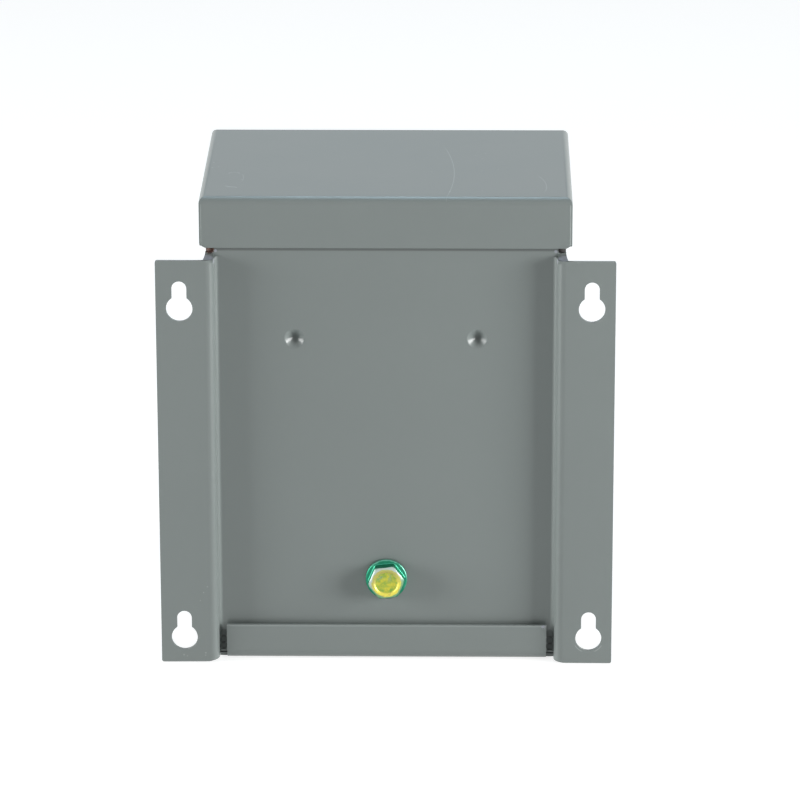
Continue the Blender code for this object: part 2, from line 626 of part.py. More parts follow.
def make_case_wrap(screw_holes):
    side = CASE_HALF_WIDTH - SHEET / 2
    rear = CASE_REAR + SHEET / 2
    front = CASE_DEPTH - SHEET / 2
    flange = CASE_HALF_WIDTH - CASE_REAR_FLANGE
    path = bent_path([(-flange, rear), (-side, rear), (-side, front),
                      (side, front), (side, rear), (flange, rear)], BEND_RADIUS)
    wrap = folded("case_wrap", path, SHEET + FIT_GAP, CASE_TOP, True, PAINT)
    cut(wrap, block("window_cutter", (-WINDOW_HALF_WIDTH, CASE_INNER_DEPTH - SHEET, WINDOW_LOW_Z),
                    (WINDOW_HALF_WIDTH, CASE_DEPTH + SHEET, WINDOW_HIGH_Z)))
    for number, (sign, depth) in enumerate(side_knockout_places()):
        cut(wrap, prism(f"side_knockout_hole_{number}", ROUND, KNOCKOUT_RADIUS,
                        at(sign * (CASE_INNER_HALF_WIDTH - SHEET), depth, SIDE_KNOCKOUT_Z),
                        at(sign * (CASE_HALF_WIDTH + SHEET), depth, SIDE_KNOCKOUT_Z)))
    cut(wrap, *screw_holes)


def make_bottom_plate(screw_holes):
    skin = SHEET / 2
    rear = BASE_LIP_DEPTH + skin
    front = INNER_FRONT - skin
    lips = bent_path([(rear, BASE_LIP_HEIGHT), (rear, skin), (front, skin),
                      (front, WINDOW_LOW_Z - SHEET)],
                     BASE_BEND_INNER_RADIUS + SHEET / 2, BEND_RADIUS)
    plate = folded("bottom_plate", lips, -BASE_LIP_HALF_WIDTH, BASE_LIP_HALF_WIDTH, False, PAINT)
    side = INNER_HALF_WIDTH - skin
    across = bent_path([(-side, BASE_SIDE_LIP_HEIGHT), (-side, skin), (side, skin),
                        (side, BASE_SIDE_LIP_HEIGHT)], BEND_RADIUS)
    pan = cross_sheet("base_pan", across, BASE_FLAT_DEPTH, INNER_FRONT - 3 * SHEET)
    join(plate, pan)
    for sign in (-1, 1):
        cut(plate, block(f"base_lip_relief_{sign}",
                         (sign * CHANNEL_HALF_WIDTH, CHANNEL_DEPTH - SHEET, -SHEET),
                         (sign * (CASE_HALF_WIDTH + SHEET), INNER_REAR + FIT_GAP,
                          BASE_SIDE_LIP_HEIGHT + SHEET)))
        cut(plate, prism(f"base_knockout_hole_{sign}", ROUND, KNOCKOUT_RADIUS,
                         at(sign * BASE_KNOCKOUT_PITCH / 2, INNER_DEPTH, -SHEET),
                         at(sign * BASE_KNOCKOUT_PITCH / 2, INNER_DEPTH, 2 * SHEET)))
    cut(plate, *screw_holes)


def cross_sheet(name, path, rear, front):
    """Folded sheet with its (x, z) path drawn from a rear depth to a front depth."""
    shape = bmesh.new()
    rows = [[shape.verts.new(at(x, depth, z)) for x, z in path] for depth in (rear, front)]
    for index in range(len(path) - 1):
        shape.faces.new((rows[0][index], rows[0][index + 1], rows[1][index + 1], rows[1][index]))
    item = mesh_object(name, shape)
    thicken(item, SHEET)
    return item


def hood_solid(name, inset, material=None):
    """Block with the hood's rounded upper edges, drawn in by an inset and open to below."""
    half = HOOD_HALF_WIDTH - inset
    rear, front = HOOD_REAR_DEPTH + inset, HOOD_DEPTH - inset
    foot = HOOD_LIP_FOOT - inset
    top = HOOD_TOP - inset
    size = Vector((2 * half, front - rear, top - foot))
    shape = bmesh.new()
    bmesh.ops.create_cube(shape, size=1.0, matrix=Matrix.Diagonal((*size, 1.0)))
    upper = [edge for edge in shape.edges if all(vert.co.z > 0 for vert in edge.verts)]
    bmesh.ops.bevel(shape, geom=upper, offset=BEND_OUTER_RADIUS - inset, segments=BEND_SEGMENTS,
                    profile=0.5, affect='EDGES')
    item = mesh_object(name, shape, material)
    item.location = at(0, (rear + front) / 2, (foot + top) / 2)
    return item


def make_hood(screw_holes):
    hood = hood_solid("hood", 0.0, PAINT)
    cut(hood, hood_solid("hood_hollow", SHEET))
    for sign in (-1, 1):
        seam_top = HOOD_TOP - BEND_OUTER_RADIUS
        rear_seam = block(f"hood_rear_seam_{sign}",
                          (sign * HOOD_SEAM_HALF_WIDTH, HOOD_REAR_DEPTH - SHEET, HOOD_LIP_FOOT - SHEET),
                          (sign * (HOOD_HALF_WIDTH + SHEET), HOOD_REAR_DEPTH + SHEET + FIT_GAP, seam_top))
        front_seam = block(f"hood_front_seam_{sign}",
                           (sign * HOOD_SEAM_HALF_WIDTH, HOOD_DEPTH + SHEET, HOOD_LIP_FOOT - SHEET),
                           (sign * (HOOD_HALF_WIDTH + SHEET), HOOD_DEPTH - SHEET - FIT_GAP, seam_top))
        cut(hood, rear_seam, front_seam)
        for depth in (HOOD_REAR_DEPTH + SHEET / 2, HOOD_DEPTH - SHEET / 2):
            cut(hood, lip_clip(f"hood_lip_clip_{sign}_{depth:.3f}", sign, depth))
    cut(hood, *screw_holes)


def lip_clip(name, sign, depth):
    """Cutter that clips a lip's lower corner, and the side's beside it, on the slant."""
    run, rise = [math.sqrt(2) * length for length in HOOD_LIP_CLIP]
    shape = bmesh.new()
    bmesh.ops.create_cube(shape, size=1.0, matrix=(Matrix.Diagonal((run, 4 * SHEET, rise, 1.0))
                                                   @ Matrix.Rotation(math.radians(45), 4, 'Y')))
    cutter = mesh_object(name, shape)
    cutter.location = at(sign * HOOD_HALF_WIDTH, depth, HOOD_LIP_FOOT)
    return cutter


def make_wiring_cover(screw_holes):
    side = CASE_HALF_WIDTH + FIT_GAP + SHEET / 2
    front = COVER_DEPTH - SHEET / 2
    rear = COVER_DEPTH - COVER_RETURN
    path = bent_path([(-side, rear), (-side, front), (side, front), (side, rear)], BEND_RADIUS)
    cover = folded("wiring_cover", path, COVER_FOOT, COVER_TOP, True, PAINT)
    cut(cover, *screw_holes)


def hex_screw(name, seat, direction, sizes, turn=0.0, material=ZINC):
    """Hex washer-head screw whose head stands on its seat and whose shank goes the other way."""
    shank_radius, length, washer_radius, washer_height, flats, hex_height = sizes
    out = Vector(direction)
    seat = Vector(seat)
    foot = seat - out * length
    rim, shoulder = WASHER_RIM_SHARES
    screw = prism(name, SMALL_ROUND, shank_radius, foot, seat + out * washer_height / 2, material)
    washer = turned(f"{name}_washer", [(0, washer_height), (washer_radius * rim, washer_height),
                                       (washer_radius, washer_height * shoulder), (washer_radius, 0),
                                       (0, 0)], seat, direction)
    head = turned_hex(f"{name}_hex", flats, hex_height + washer_height / 2,
                      seat + out * washer_height / 2, direction, turn)
    join(screw, washer, head)
    return screw


def turned_hex(name, flats, height, seat, direction, turn, material=None):
    """Hex bar whose top corners are rounded off by a turned cone."""
    radius = hex_radius(flats)
    seat = Vector(seat)
    top_share, reach_share, shoulder_share = HEX_TOP_SHARES
    reach = radius * reach_share
    bar = prism(name, 6, radius, seat, seat + Vector(direction) * height, material, turn=turn)
    cone = turned(f"{name}_chamfer", [(0, height), (flats * top_share, height),
                                      (reach, height * shoulder_share), (reach, -height), (0, -height)],
                  seat, direction)
    modify(bar, cone, 'INTERSECT')
    return bar


SCREW_SIZES = (SCREW_SHANK_RADIUS, SCREW_LENGTH, SCREW_WASHER_RADIUS, SCREW_WASHER_HEIGHT,
               SCREW_HEX_FLATS, SCREW_HEX_HEIGHT)
GROUND_SIZES = (GROUND_SHANK_RADIUS, GROUND_SHANK_LENGTH, GROUND_WASHER_RADIUS, GROUND_WASHER_HEIGHT,
                GROUND_HEX_FLATS, GROUND_HEX_HEIGHT)


def make_screws():
    front = (0, -1, 0)
    for number, (x, z) in enumerate(cover_screw_places(), start=1):
        hex_screw(f"cover_screw_{number}", at(x, COVER_DEPTH + FIT_GAP, z), front, SCREW_SIZES,
                  turn=number)
    for number, x in enumerate((-HOOD_SCREW_X, HOOD_SCREW_X), start=1):
        hex_screw(f"hood_screw_{number}", at(x, HOOD_DEPTH + FIT_GAP, HOOD_SCREW_Z), front,
                  SCREW_SIZES, turn=3 * number)


def make_knockouts():
    radius = KNOCKOUT_RADIUS - FIT_GAP
    for number, (sign, depth) in enumerate(side_knockout_places(), start=1):
        prism(f"side_knockout_{number}", ROUND, radius,
              at(sign * CASE_INNER_HALF_WIDTH, depth, SIDE_KNOCKOUT_Z),
              at(sign * CASE_HALF_WIDTH, depth, SIDE_KNOCKOUT_Z), PAINT)
    for number, x in enumerate((-BASE_KNOCKOUT_PITCH / 2, BASE_KNOCKOUT_PITCH / 2), start=1):
        prism(f"bottom_knockout_{number}", ROUND, radius, at(x, INNER_DEPTH, 0),
              at(x, INNER_DEPTH, SHEET), PAINT)


def make_rating_plate():
    rear = CASE_DEPTH + FIT_GAP
    block("rating_plate", (-RATING_PLATE_WIDTH / 2, rear, RATING_PLATE_FOOT),
          (RATING_PLATE_WIDTH / 2, rear + RATING_PLATE_THICKNESS, RATING_PLATE_FOOT + RATING_PLATE_HEIGHT),
          PLATE)


# ---------------------------------------------------------------- core, coil and potting
def make_core():
    stack = block("e_laminations", (-CORE_HALF_WIDTH, CORE_REAR, CORE_FOOT),
                  (CORE_HALF_WIDTH, CORE_FRONT, WINDOW_HEAD), CORE_STEEL)
    for sign in (-1, 1):
        cut(stack, block(f"core_window_{sign}",
                         (sign * TONGUE_HALF_WIDTH, CORE_REAR - SHEET, WINDOW_FOOT),
                         (sign * 2 * LAMINATION_UNIT, CORE_FRONT + SHEET, WINDOW_HEAD + SHEET)))
    yoke = block("i_laminations", (-CORE_HALF_WIDTH, CORE_REAR, WINDOW_HEAD + FIT_GAP),
                 (CORE_HALF_WIDTH, CORE_FRONT, CORE_TOP), CORE_STEEL)
    for number, (x, z) in enumerate(core_bolt_places()):
        hole = prism(f"core_bolt_hole_{number}", SMALL_ROUND, CORE_BOLT_RADIUS + FIT_GAP,
                     at(x, CORE_REAR - SHEET, z), at(x, CORE_FRONT + SHEET, z))
        cut(stack if z < WINDOW_HEAD else yoke, hole)


def core_bolt_places():
    x = CORE_HALF_WIDTH - CORE_BOLT_INSET
    return [(sign * x, z) for sign in (-1, 1)
            for z in (CORE_FOOT + CORE_BOLT_INSET, CORE_TOP - CORE_BOLT_INSET)]


def make_core_bolts():
    radius = hex_radius(CORE_BOLT_HEX_FLATS)
    head_seat = CORE_FRONT + FIT_GAP
    nut_seat = CORE_REAR - FIT_GAP
    tail = nut_seat - CORE_BOLT_HEX_HEIGHT - FIT_GAP
    for number, (x, z) in enumerate(core_bolt_places(), start=1):
        bolt = prism(f"core_bolt_{number}", SMALL_ROUND, CORE_BOLT_RADIUS,
                     at(x, tail, z), at(x, head_seat + SHEET, z), ZINC)
        join(bolt, prism(f"core_bolt_head_{number}", 6, radius, at(x, head_seat, z),
                         at(x, head_seat + CORE_BOLT_HEX_HEIGHT, z)))
        nut = prism(f"core_nut_{number}", 6, radius, at(x, nut_seat, z),
                    at(x, nut_seat - CORE_BOLT_HEX_HEIGHT, z), ZINC)
        cut(nut, prism(f"core_nut_bore_{number}", SMALL_ROUND, CORE_BOLT_RADIUS + FIT_GAP,
                       at(x, nut_seat + SHEET, z), at(x, nut_seat - 2 * CORE_BOLT_HEX_HEIGHT, z)))


def flat_washer(name, seat, direction, inner, outer, thickness):
    """Turned ring that stands on its seat."""
    return turned(name, [(inner, thickness), (outer, thickness), (outer, 0), (inner, 0),
                         (inner, thickness)], seat, direction, ZINC)


def lead_hole_cutters(name, places, depth, foot, head):
    return [prism(f"{name}_{number}", SMALL_ROUND, LEAD_RADIUS + FIT_GAP, at(x, depth, foot),
                  at(x, depth, head))
            for number, x in enumerate(places)]


def make_coil():
    half_y = STACK_THICKNESS / 2
    half_x = TONGUE_HALF_WIDTH
    foot, head = WINDOW_FOOT + FIT_GAP, WINDOW_HEAD - FIT_GAP

    def layer(name, start, wall, material, low, high):
        return ring_wall(name, half_x + start, half_y + start, start, wall, low, high, material)

    bobbin = layer("coil_bobbin", FIT_GAP, BOBBIN_WALL, NYLON, foot, head)
    for end, low in (("foot", foot), ("head", head - BOBBIN_WALL)):
        join(bobbin, layer(f"bobbin_flange_{end}", FIT_GAP, COIL_BUILD - FIT_GAP, None, low,
                           low + BOBBIN_WALL))
    for cutter in (lead_hole_cutters("bobbin_primary_hole", LEAD_X, PRIMARY_LEAD_DEPTH,
                                     foot - SHEET, foot + 2 * BOBBIN_WALL)
                   + lead_hole_cutters("bobbin_secondary_hole", LEAD_X, SECONDARY_LEAD_DEPTH,
                                       foot - SHEET, foot + 2 * BOBBIN_WALL)):
        cut(bobbin, cutter)
    layer("secondary_winding", SECONDARY_START, SECONDARY_BUILD, COPPER, WINDING_FOOT, WINDING_HEAD)
    layer("winding_barrier", INNER_WRAP_START, WRAP_THICKNESS, PAPER, WINDING_FOOT, WINDING_HEAD)
    layer("primary_winding", PRIMARY_START, PRIMARY_BUILD, COPPER, WINDING_FOOT, WINDING_HEAD)
    layer("coil_wrap", OUTER_WRAP_START, WRAP_THICKNESS, PAPER, WINDING_FOOT, WINDING_HEAD)


def make_potting():
    potting = block("potting_compound", (-INNER_HALF_WIDTH, INNER_REAR, POTTING_FOOT),
                    (INNER_HALF_WIDTH, INNER_FRONT, POTTING_TOP), RESIN,
                    bevel=CORNER_RELIEF, vertical_only=True)
    core_well = block("core_well",
                      (-CORE_HALF_WIDTH - FIT_GAP, CORE_REAR - FIT_GAP, CORE_FOOT - FIT_GAP),
                      (CORE_HALF_WIDTH + FIT_GAP, CORE_FRONT + FIT_GAP, POTTING_TOP + SHEET))
    reach = COIL_BUILD + FIT_GAP
    coil_well = block("coil_well", (-TONGUE_HALF_WIDTH - reach, CORE_REAR - reach, WINDOW_FOOT),
                      (TONGUE_HALF_WIDTH + reach, CORE_FRONT + reach, WINDOW_HEAD))
    cut(potting, core_well, coil_well)
    bolt_reach = CORE_BOLT_HEX_HEIGHT + 3 * FIT_GAP
    pocket_radius = hex_radius(CORE_BOLT_HEX_FLATS) + 2 * FIT_GAP
    for number, (x, z) in enumerate(core_bolt_places()):
        cut(potting, prism(f"core_bolt_pocket_{number}", SMALL_ROUND, pocket_radius,
                           at(x, CORE_REAR - bolt_reach, z), at(x, CORE_FRONT + bolt_reach, z)))
    foot = POTTING_FOOT - SHEET
    cut(potting, *lead_hole_cutters("potting_primary_hole", LEAD_X, PRIMARY_LEAD_DEPTH, foot,
                                    WINDOW_FOOT + SHEET))
    cut(potting, *lead_hole_cutters("potting_secondary_hole", LEAD_X, SECONDARY_LEAD_DEPTH, foot,
                                    WINDOW_FOOT + SHEET))
    cut(potting, *lead_hole_cutters("potting_ground_hole", [GROUND_LEAD_X], SECONDARY_LEAD_DEPTH,
                                    foot, GROUND_TAP_Z))
    around = LEAD_RADIUS + 2 * FIT_GAP
    cut(potting, block("ground_tap_pocket",
                       (GROUND_LEAD_X - around, SECONDARY_LEAD_DEPTH - around,
                        GROUND_TAP_Z - 4 * LEAD_RADIUS),
                       (GROUND_LEAD_X + around, INNER_DEPTH, GROUND_TAP_Z + 2 * LEAD_RADIUS)))
    tip, rim = [DIMPLE_RADIUS * share for share in DIMPLE_POCKET_SHARES]
    for sign in (-1, 1):
        top = PANEL_DEPTH + DIMPLE_DEPTH + FIT_GAP
        profile = [(0, top), (tip, top), (rim, PANEL_DEPTH), (rim, CHANNEL_DEPTH), (0, CHANNEL_DEPTH)]
        cut(potting, turned(f"dimple_pocket_{sign}", profile, at(sign * DIMPLE_X, 0, DIMPLE_Z),
                            (0, -1, 0)))


# ---------------------------------------------------------------- barrier, leads and ground stud
def make_barrier():
    barrier = block("barrier_plate", (-INNER_HALF_WIDTH, INNER_REAR, BARRIER_FOOT),
                    (INNER_HALF_WIDTH, INNER_FRONT, BARRIER_FOOT + BARRIER_THICKNESS), FIBRE,
                    bevel=CORNER_RELIEF, vertical_only=True)
    for name, depth, places in bushing_rows():
        half_x, half_y = BUSHING_HALF_LENGTH, BUSHING_HALF_WIDTH
        cut(barrier, block(f"{name}_slot", (-half_x, depth - half_y, BARRIER_FOOT - SHEET),
                           (half_x, depth + half_y, BARRIER_FOOT + 2 * SHEET)))
        bushing = block(name, (-half_x - BUSHING_FLANGE, depth - half_y - BUSHING_FLANGE,
                               BARRIER_FOOT - FIT_GAP - SHEET),
                        (half_x + BUSHING_FLANGE, depth + half_y + BUSHING_FLANGE,
                         BARRIER_FOOT - FIT_GAP), RUBBER)
        neck = block(f"{name}_neck", (-half_x + FIT_GAP, depth - half_y + FIT_GAP,
                                      BARRIER_FOOT - FIT_GAP - SHEET / 2),
                     (half_x - FIT_GAP, depth + half_y - FIT_GAP, BARRIER_FOOT + BARRIER_THICKNESS))
        join(bushing, neck)
        cut(bushing, *lead_hole_cutters(f"{name}_hole", places, depth, BARRIER_FOOT - 3 * SHEET,
                                        BARRIER_FOOT + 3 * SHEET))


def bushing_rows():
    return [("primary_bushing", PRIMARY_LEAD_DEPTH, LEAD_X),
            ("secondary_bushing", SECONDARY_LEAD_DEPTH, LEAD_X + [GROUND_LEAD_X])]


def lead_route(x, depth, towards, end_z, drift):
    """Down from the winding, through the bushing and in a slack bend into the wiring space."""
    low = BARRIER_FOOT - LEAD_STRAIGHT
    drop = low - end_z
    anchors = [at(x, depth, z) for z in (WINDING_FOOT - FIT_GAP, POTTING_FOOT, BARRIER_FOOT - 2 * SHEET,
                                         low)]
    for drift_share, sweep_share, drop_share in LEAD_BEND_SHARES:
        anchors.append(at(x + drift * drift_share, depth + towards * LEAD_SWEEP * sweep_share,
                          low - drop * drop_share))
    return anchors


def make_leads():
    sets = [("lead_h", PRIMARY_LEAD_DEPTH, -1, PRIMARY_WIRE, PRIMARY_LEAD_ENDS_Z, PRIMARY_LEAD_DRIFTS),
            ("lead_x", SECONDARY_LEAD_DEPTH, 1, SECONDARY_WIRE, SECONDARY_LEAD_ENDS_Z,
             SECONDARY_LEAD_DRIFTS)]
    for prefix, depth, towards, material, ends, drifts in sets:
        for number, (x, end_z, drift) in enumerate(zip(LEAD_X, ends, drifts), start=1):
            points = smooth_route(lead_route(x, depth, towards, end_z, drift),
                                  LEAD_SPACING * LEAD_RADIUS)
            wire(f"{prefix}{number}", points, LEAD_RADIUS, material)
            along = (points[-1] - points[-2]).normalized()
            prism(f"{prefix}{number}_strand", STRAND_SIDES, STRAND_RADIUS,
                  points[-1] + along * FIT_GAP, points[-1] + along * STRAND_LENGTH, TIN)


def make_ground_stud():
    back, out = Vector((0, 1, 0)), Vector((0, -1, 0))
    seat = at(0, GROUND_HEAD_DEPTH, GROUND_Z)
    bolt = hex_screw("ground_bolt", seat, back, GROUND_SIZES, GROUND_TURN, GREEN_ZINC)
    head_top = GROUND_WASHER_HEIGHT + GROUND_HEX_HEIGHT
    dish_floor = head_top - GROUND_DISH_DEPTH
    cut(bolt, turned("ground_dish", [(0, head_top + SHEET), (GROUND_DISH_RADIUS, head_top + SHEET),
                                     (GROUND_DISH_RADIUS, head_top),
                                     (GROUND_DISH_RADIUS * GROUND_DISH_FLOOR_SHARE, dish_floor),
                                     (0, dish_floor)], seat, back))
    washer = flat_washer("ground_lock_washer", at(0, LOCK_WASHER_SEAT, GROUND_Z), out, GROUND_BORE,
                         GROUND_HEX_FLATS / 2, LOCK_WASHER_THICKNESS)
    for tooth in range(LOCK_WASHER_TEETH):
        angle = tooth * 2 * math.pi / LOCK_WASHER_TEETH
        radial = Vector((math.cos(angle), 0, math.sin(angle)))
        start = at(0, LOCK_WASHER_SEAT, GROUND_Z) + radial * (GROUND_HEX_FLATS / 2 + SHEET)
        cut(washer, prism(f"tooth_gap_{tooth}", STRAND_SIDES, SHEET, start + back * SHEET,
                          start + out * 2 * SHEET))
    make_terminal()
    nut = turned_hex("ground_nut", GROUND_HEX_FLATS, GROUND_NUT_HEIGHT,
                     at(0, GROUND_NUT_SEAT, GROUND_Z), out, GROUND_NUT_TURN, ZINC)
    cut(nut, prism("ground_nut_bore", ROUND, GROUND_BORE, at(0, GROUND_NUT_SEAT - SHEET, GROUND_Z),
                   at(0, GROUND_NUT_SEAT + 2 * GROUND_NUT_HEIGHT, GROUND_Z)))


def make_terminal():
    """Ring terminal with its crimped barrel to one side."""
    ring = prism("ground_terminal", ROUND, TERMINAL_RADIUS, at(0, TERMINAL_SEAT, GROUND_Z),
                 at(0, TERMINAL_SEAT + TERMINAL_THICKNESS, GROUND_Z), TIN)
    tongue = block("terminal_tongue", (0, TERMINAL_SEAT, GROUND_Z - TERMINAL_BARREL_RADIUS),
                   (BARREL_START + SHEET, TERMINAL_SEAT + TERMINAL_THICKNESS,
                    GROUND_Z + TERMINAL_BARREL_RADIUS))
    barrel = prism("terminal_barrel", SMALL_ROUND, TERMINAL_BARREL_RADIUS,
                   at(BARREL_START, BARREL_DEPTH, GROUND_Z), at(BARREL_END, BARREL_DEPTH, GROUND_Z))
    join(ring, tongue, barrel)
    cut(ring, prism("terminal_bore", ROUND, GROUND_BORE, at(0, TERMINAL_SEAT - SHEET, GROUND_Z),
                    at(0, TERMINAL_SEAT + 2 * SHEET, GROUND_Z)))
    cut(ring, prism("terminal_socket", SMALL_ROUND, LEAD_RADIUS + FIT_GAP,
                    at(BARREL_START + TERMINAL_THICKNESS, BARREL_DEPTH, GROUND_Z),
                    at(BARREL_END + SHEET, BARREL_DEPTH, GROUND_Z)))


def make_ground_lead():
    """From the core's rear face down through the bushing and round to the terminal's barrel."""
    x, depth = GROUND_LEAD_X, SECONDARY_LEAD_DEPTH
    bend_depth, first_drop, second_drop = GROUND_TAP_BEND
    anchors = [at(x, CORE_REAR - FIT_GAP, GROUND_TAP_Z), at(x, CORE_REAR - LEAD_RADIUS, GROUND_TAP_Z),
               at(x, depth + bend_depth, GROUND_TAP_Z - first_drop),
               at(x, depth, GROUND_TAP_Z - second_drop), at(x, depth, POTTING_FOOT),
               at(x, depth, BARRIER_FOOT - 2 * SHEET), at(x, depth, BARRIER_FOOT - 5 * SHEET)]
    drop = BARRIER_FOOT - 5 * SHEET - GROUND_Z
    for sideways, backwards, share in GROUND_LEAD_SWING:
        anchors.append(at(x + sideways, depth - backwards, GROUND_Z + drop * share))
    (first_side, first_depth), (last_side, last_depth) = GROUND_LEAD_ENTRY
    anchors += [at(x + first_side, BARREL_DEPTH + first_depth, GROUND_Z),
                at(BARREL_END + last_side, BARREL_DEPTH + last_depth, GROUND_Z),
                at(BARREL_START + TERMINAL_BARREL_LENGTH / 2, BARREL_DEPTH, GROUND_Z)]
    points = smooth_route(anchors, GROUND_LEAD_SPACING * LEAD_RADIUS)
    wire("ground_lead", points, LEAD_RADIUS, GROUND_WIRE)


def main():
    low_holes, high_holes, hood_holes = screw_hole_cutters()
    make_back_plate()
    make_case_wrap(low_holes + high_holes + hood_holes)
    make_bottom_plate(low_holes)
    make_hood(hood_holes)
    make_wiring_cover(low_holes + high_holes)
    make_screws()
    make_knockouts()
    make_rating_plate()
    make_core()
    make_core_bolts()
    make_coil()
    make_potting()
    make_barrier()
    make_leads()
    make_ground_stud()
    make_ground_lead()
    bpy.context.view_layer.update()


main()
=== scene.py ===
# %% [markdown]
# # A small wall-mounted transformer, seen from its back
#
# The real object is a rain-hooded sheet-steel case that holds a core and coil in sand-filled resin.
# It hangs on a wall by two flanges with keyholes.  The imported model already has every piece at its
# real size, so this lesson gives the pieces their fine edges, their small features and their
# finishes, and then lights them as a studio would.  Everything is in metres, with +Z up and the wall
# side at +Y.

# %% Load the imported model
import json
import math

import bmesh
import bpy
from mathutils import Euler, Matrix, Quaternion, Vector


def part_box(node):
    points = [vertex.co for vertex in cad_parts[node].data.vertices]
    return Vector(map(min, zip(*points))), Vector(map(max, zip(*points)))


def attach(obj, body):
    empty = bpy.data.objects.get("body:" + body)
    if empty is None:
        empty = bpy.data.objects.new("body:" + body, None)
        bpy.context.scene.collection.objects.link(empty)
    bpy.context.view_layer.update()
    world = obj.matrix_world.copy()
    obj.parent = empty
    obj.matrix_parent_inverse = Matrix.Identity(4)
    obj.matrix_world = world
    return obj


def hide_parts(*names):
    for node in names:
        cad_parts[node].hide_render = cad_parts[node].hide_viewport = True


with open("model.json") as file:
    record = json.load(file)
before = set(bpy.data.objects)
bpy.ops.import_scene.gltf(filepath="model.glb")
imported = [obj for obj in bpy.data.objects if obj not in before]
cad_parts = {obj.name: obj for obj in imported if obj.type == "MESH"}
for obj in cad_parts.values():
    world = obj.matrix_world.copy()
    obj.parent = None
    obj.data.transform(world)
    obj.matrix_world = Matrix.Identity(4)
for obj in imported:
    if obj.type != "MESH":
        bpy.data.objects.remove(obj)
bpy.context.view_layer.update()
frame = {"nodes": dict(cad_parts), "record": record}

MM = 0.001
print("nodes:", len(frame["nodes"]))

# %% [markdown]
# ## Where things are
#
# Places could be typed in again, but then they would drift from the model.  Each one is read from
# the box of its node instead: the wall plane is the back of the flanges, and the channel's panel
# lies one channel depth in front of it.  Depths are measured from the wall plane, as on the real
# case.

# %% Read the places from the nodes
CHANNEL_DEPTH = 6.0 * MM
hood_low, hood_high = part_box("hood")
bolt_low, bolt_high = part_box("ground_bolt")
bolt_middle = (bolt_low + bolt_high) / 2
WALL_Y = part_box("back_plate")[1].y
PANEL_Y = WALL_Y - CHANNEL_DEPTH
LIP_FOOT_Z = hood_low.z
HOOD_TOP_Z = hood_high.z
print("wall plane at y =", round(WALL_Y, 5), "panel at y =", round(PANEL_Y, 5))
print("hood from z =", round(LIP_FOOT_Z, 4), "to", round(HOOD_TOP_Z, 4))

# %% [markdown]
# ## The camera
#
# A long lens a good way off keeps the sides of the case nearly parallel.  The camera stands on the
# wall side, above the case, and looks down at about eighteen degrees.  A rotation built from a
# heading, a tilt and a small roll is easier to read than a matrix.

# %% Place the camera
CAMERA_PLACE = Vector((-0.03236, 1.77765, 0.68753))
CAMERA_HEADING = math.radians(180.894)
CAMERA_TILT_DOWN = math.radians(18.579)
CAMERA_ROLL = math.radians(-0.106)

lens = bpy.data.cameras.new("catalogue_lens")
lens.sensor_width = 36.0
lens.lens = 214.05
lens.clip_start = 0.05
lens.clip_end = 40.0
camera = bpy.data.objects.new("catalogue_camera", lens)
bpy.context.scene.collection.objects.link(camera)
camera.rotation_mode = 'QUATERNION'
camera.location = CAMERA_PLACE
tilt = Euler((math.radians(90) - CAMERA_TILT_DOWN, 0, CAMERA_HEADING)).to_quaternion()
camera.rotation_quaternion = tilt @ Quaternion((0, 0, 1), CAMERA_ROLL)
bpy.context.scene.camera = camera
print("camera is", round((camera.location - bolt_middle).length, 3), "m from the ground bolt")

# %% [markdown]
# ## A bench for nodes
#
# Every finish here is built from shader nodes.  Writing `nodes.new` and `links.new` for each one
# hides the idea behind the typing, so a small class adds a node, sets its options and feeds its
# inputs in one call.  An input may be a number, a colour or another node's output.

# %% Make the bench
class Bench:
    """Adds and links nodes in one tree."""

    def __init__(self, tree):
        self.tree = tree

    def feed(self, socket, value):
        if isinstance(value, bpy.types.NodeSocket):
            self.tree.links.new(value, socket)
        elif socket.type == 'RGBA':
            socket.default_value = (*value[:3], 1.0)
        else:
            socket.default_value = value

    def add(self, kind, inputs=None, **settings):
        node = self.tree.nodes.new("ShaderNode" + kind)
        for name, value in settings.items():
            setattr(node, name, value)
        for key, value in (inputs or {}).items():
            self.feed(node.inputs[key], value)
        return node

    def maths(self, operation, *values, clamp=False):
        return self.add('Math', dict(enumerate(values)), operation=operation, use_clamp=clamp).outputs[0]

    def times(self, first, second, clamp=False):
        return self.maths('MULTIPLY', first, second, clamp=clamp)

    def minus(self, first, second, clamp=False):
        return self.maths('SUBTRACT', first, second, clamp=clamp)

    def over(self, first, second):
        return self.maths('DIVIDE', first, second)

    def grow(self, value, share, base):
        """A base with a share of a value added to it."""
        return self.maths('MULTIPLY_ADD', value, share, base)

    def vector(self, operation, *values):
        node = self.add('VectorMath', operation=operation)
        for key, value in enumerate(values):
            self.feed(node.inputs["Scale" if operation == 'SCALE' and key else key], value)
        return node.outputs["Value" if operation in ('DISTANCE', 'DOT_PRODUCT') else "Vector"]

    def split(self, vector):
        return self.add('SeparateXYZ', {"Vector": vector}).outputs

    def ramp(self, value, low, high):
        """Eases from 0 at one value to 1 at another."""
        return self.add('MapRange', {"Value": value, "From Min": low, "From Max": high},
                        interpolation_type='SMOOTHSTEP').outputs["Result"]

    def noise(self, place, scale, detail=2.0, roughness=0.5):
        return self.add('TexNoise', {"Vector": place, "Scale": scale, "Detail": detail,
                                     "Roughness": roughness}).outputs["Fac"]

    def cloud(self, place, scale, low, high, *noise):
        """Soft patches: noise eased between two of its own levels."""
        return self.ramp(self.noise(place, scale, *noise), low, high)

    def blend(self, share, first, second):
        """Mixes two colours, which are inputs 6 and 7 and output 2 of a Mix node."""
        return self.add('Mix', {0: share, 6: first, 7: second}, data_type='RGBA').outputs[2]


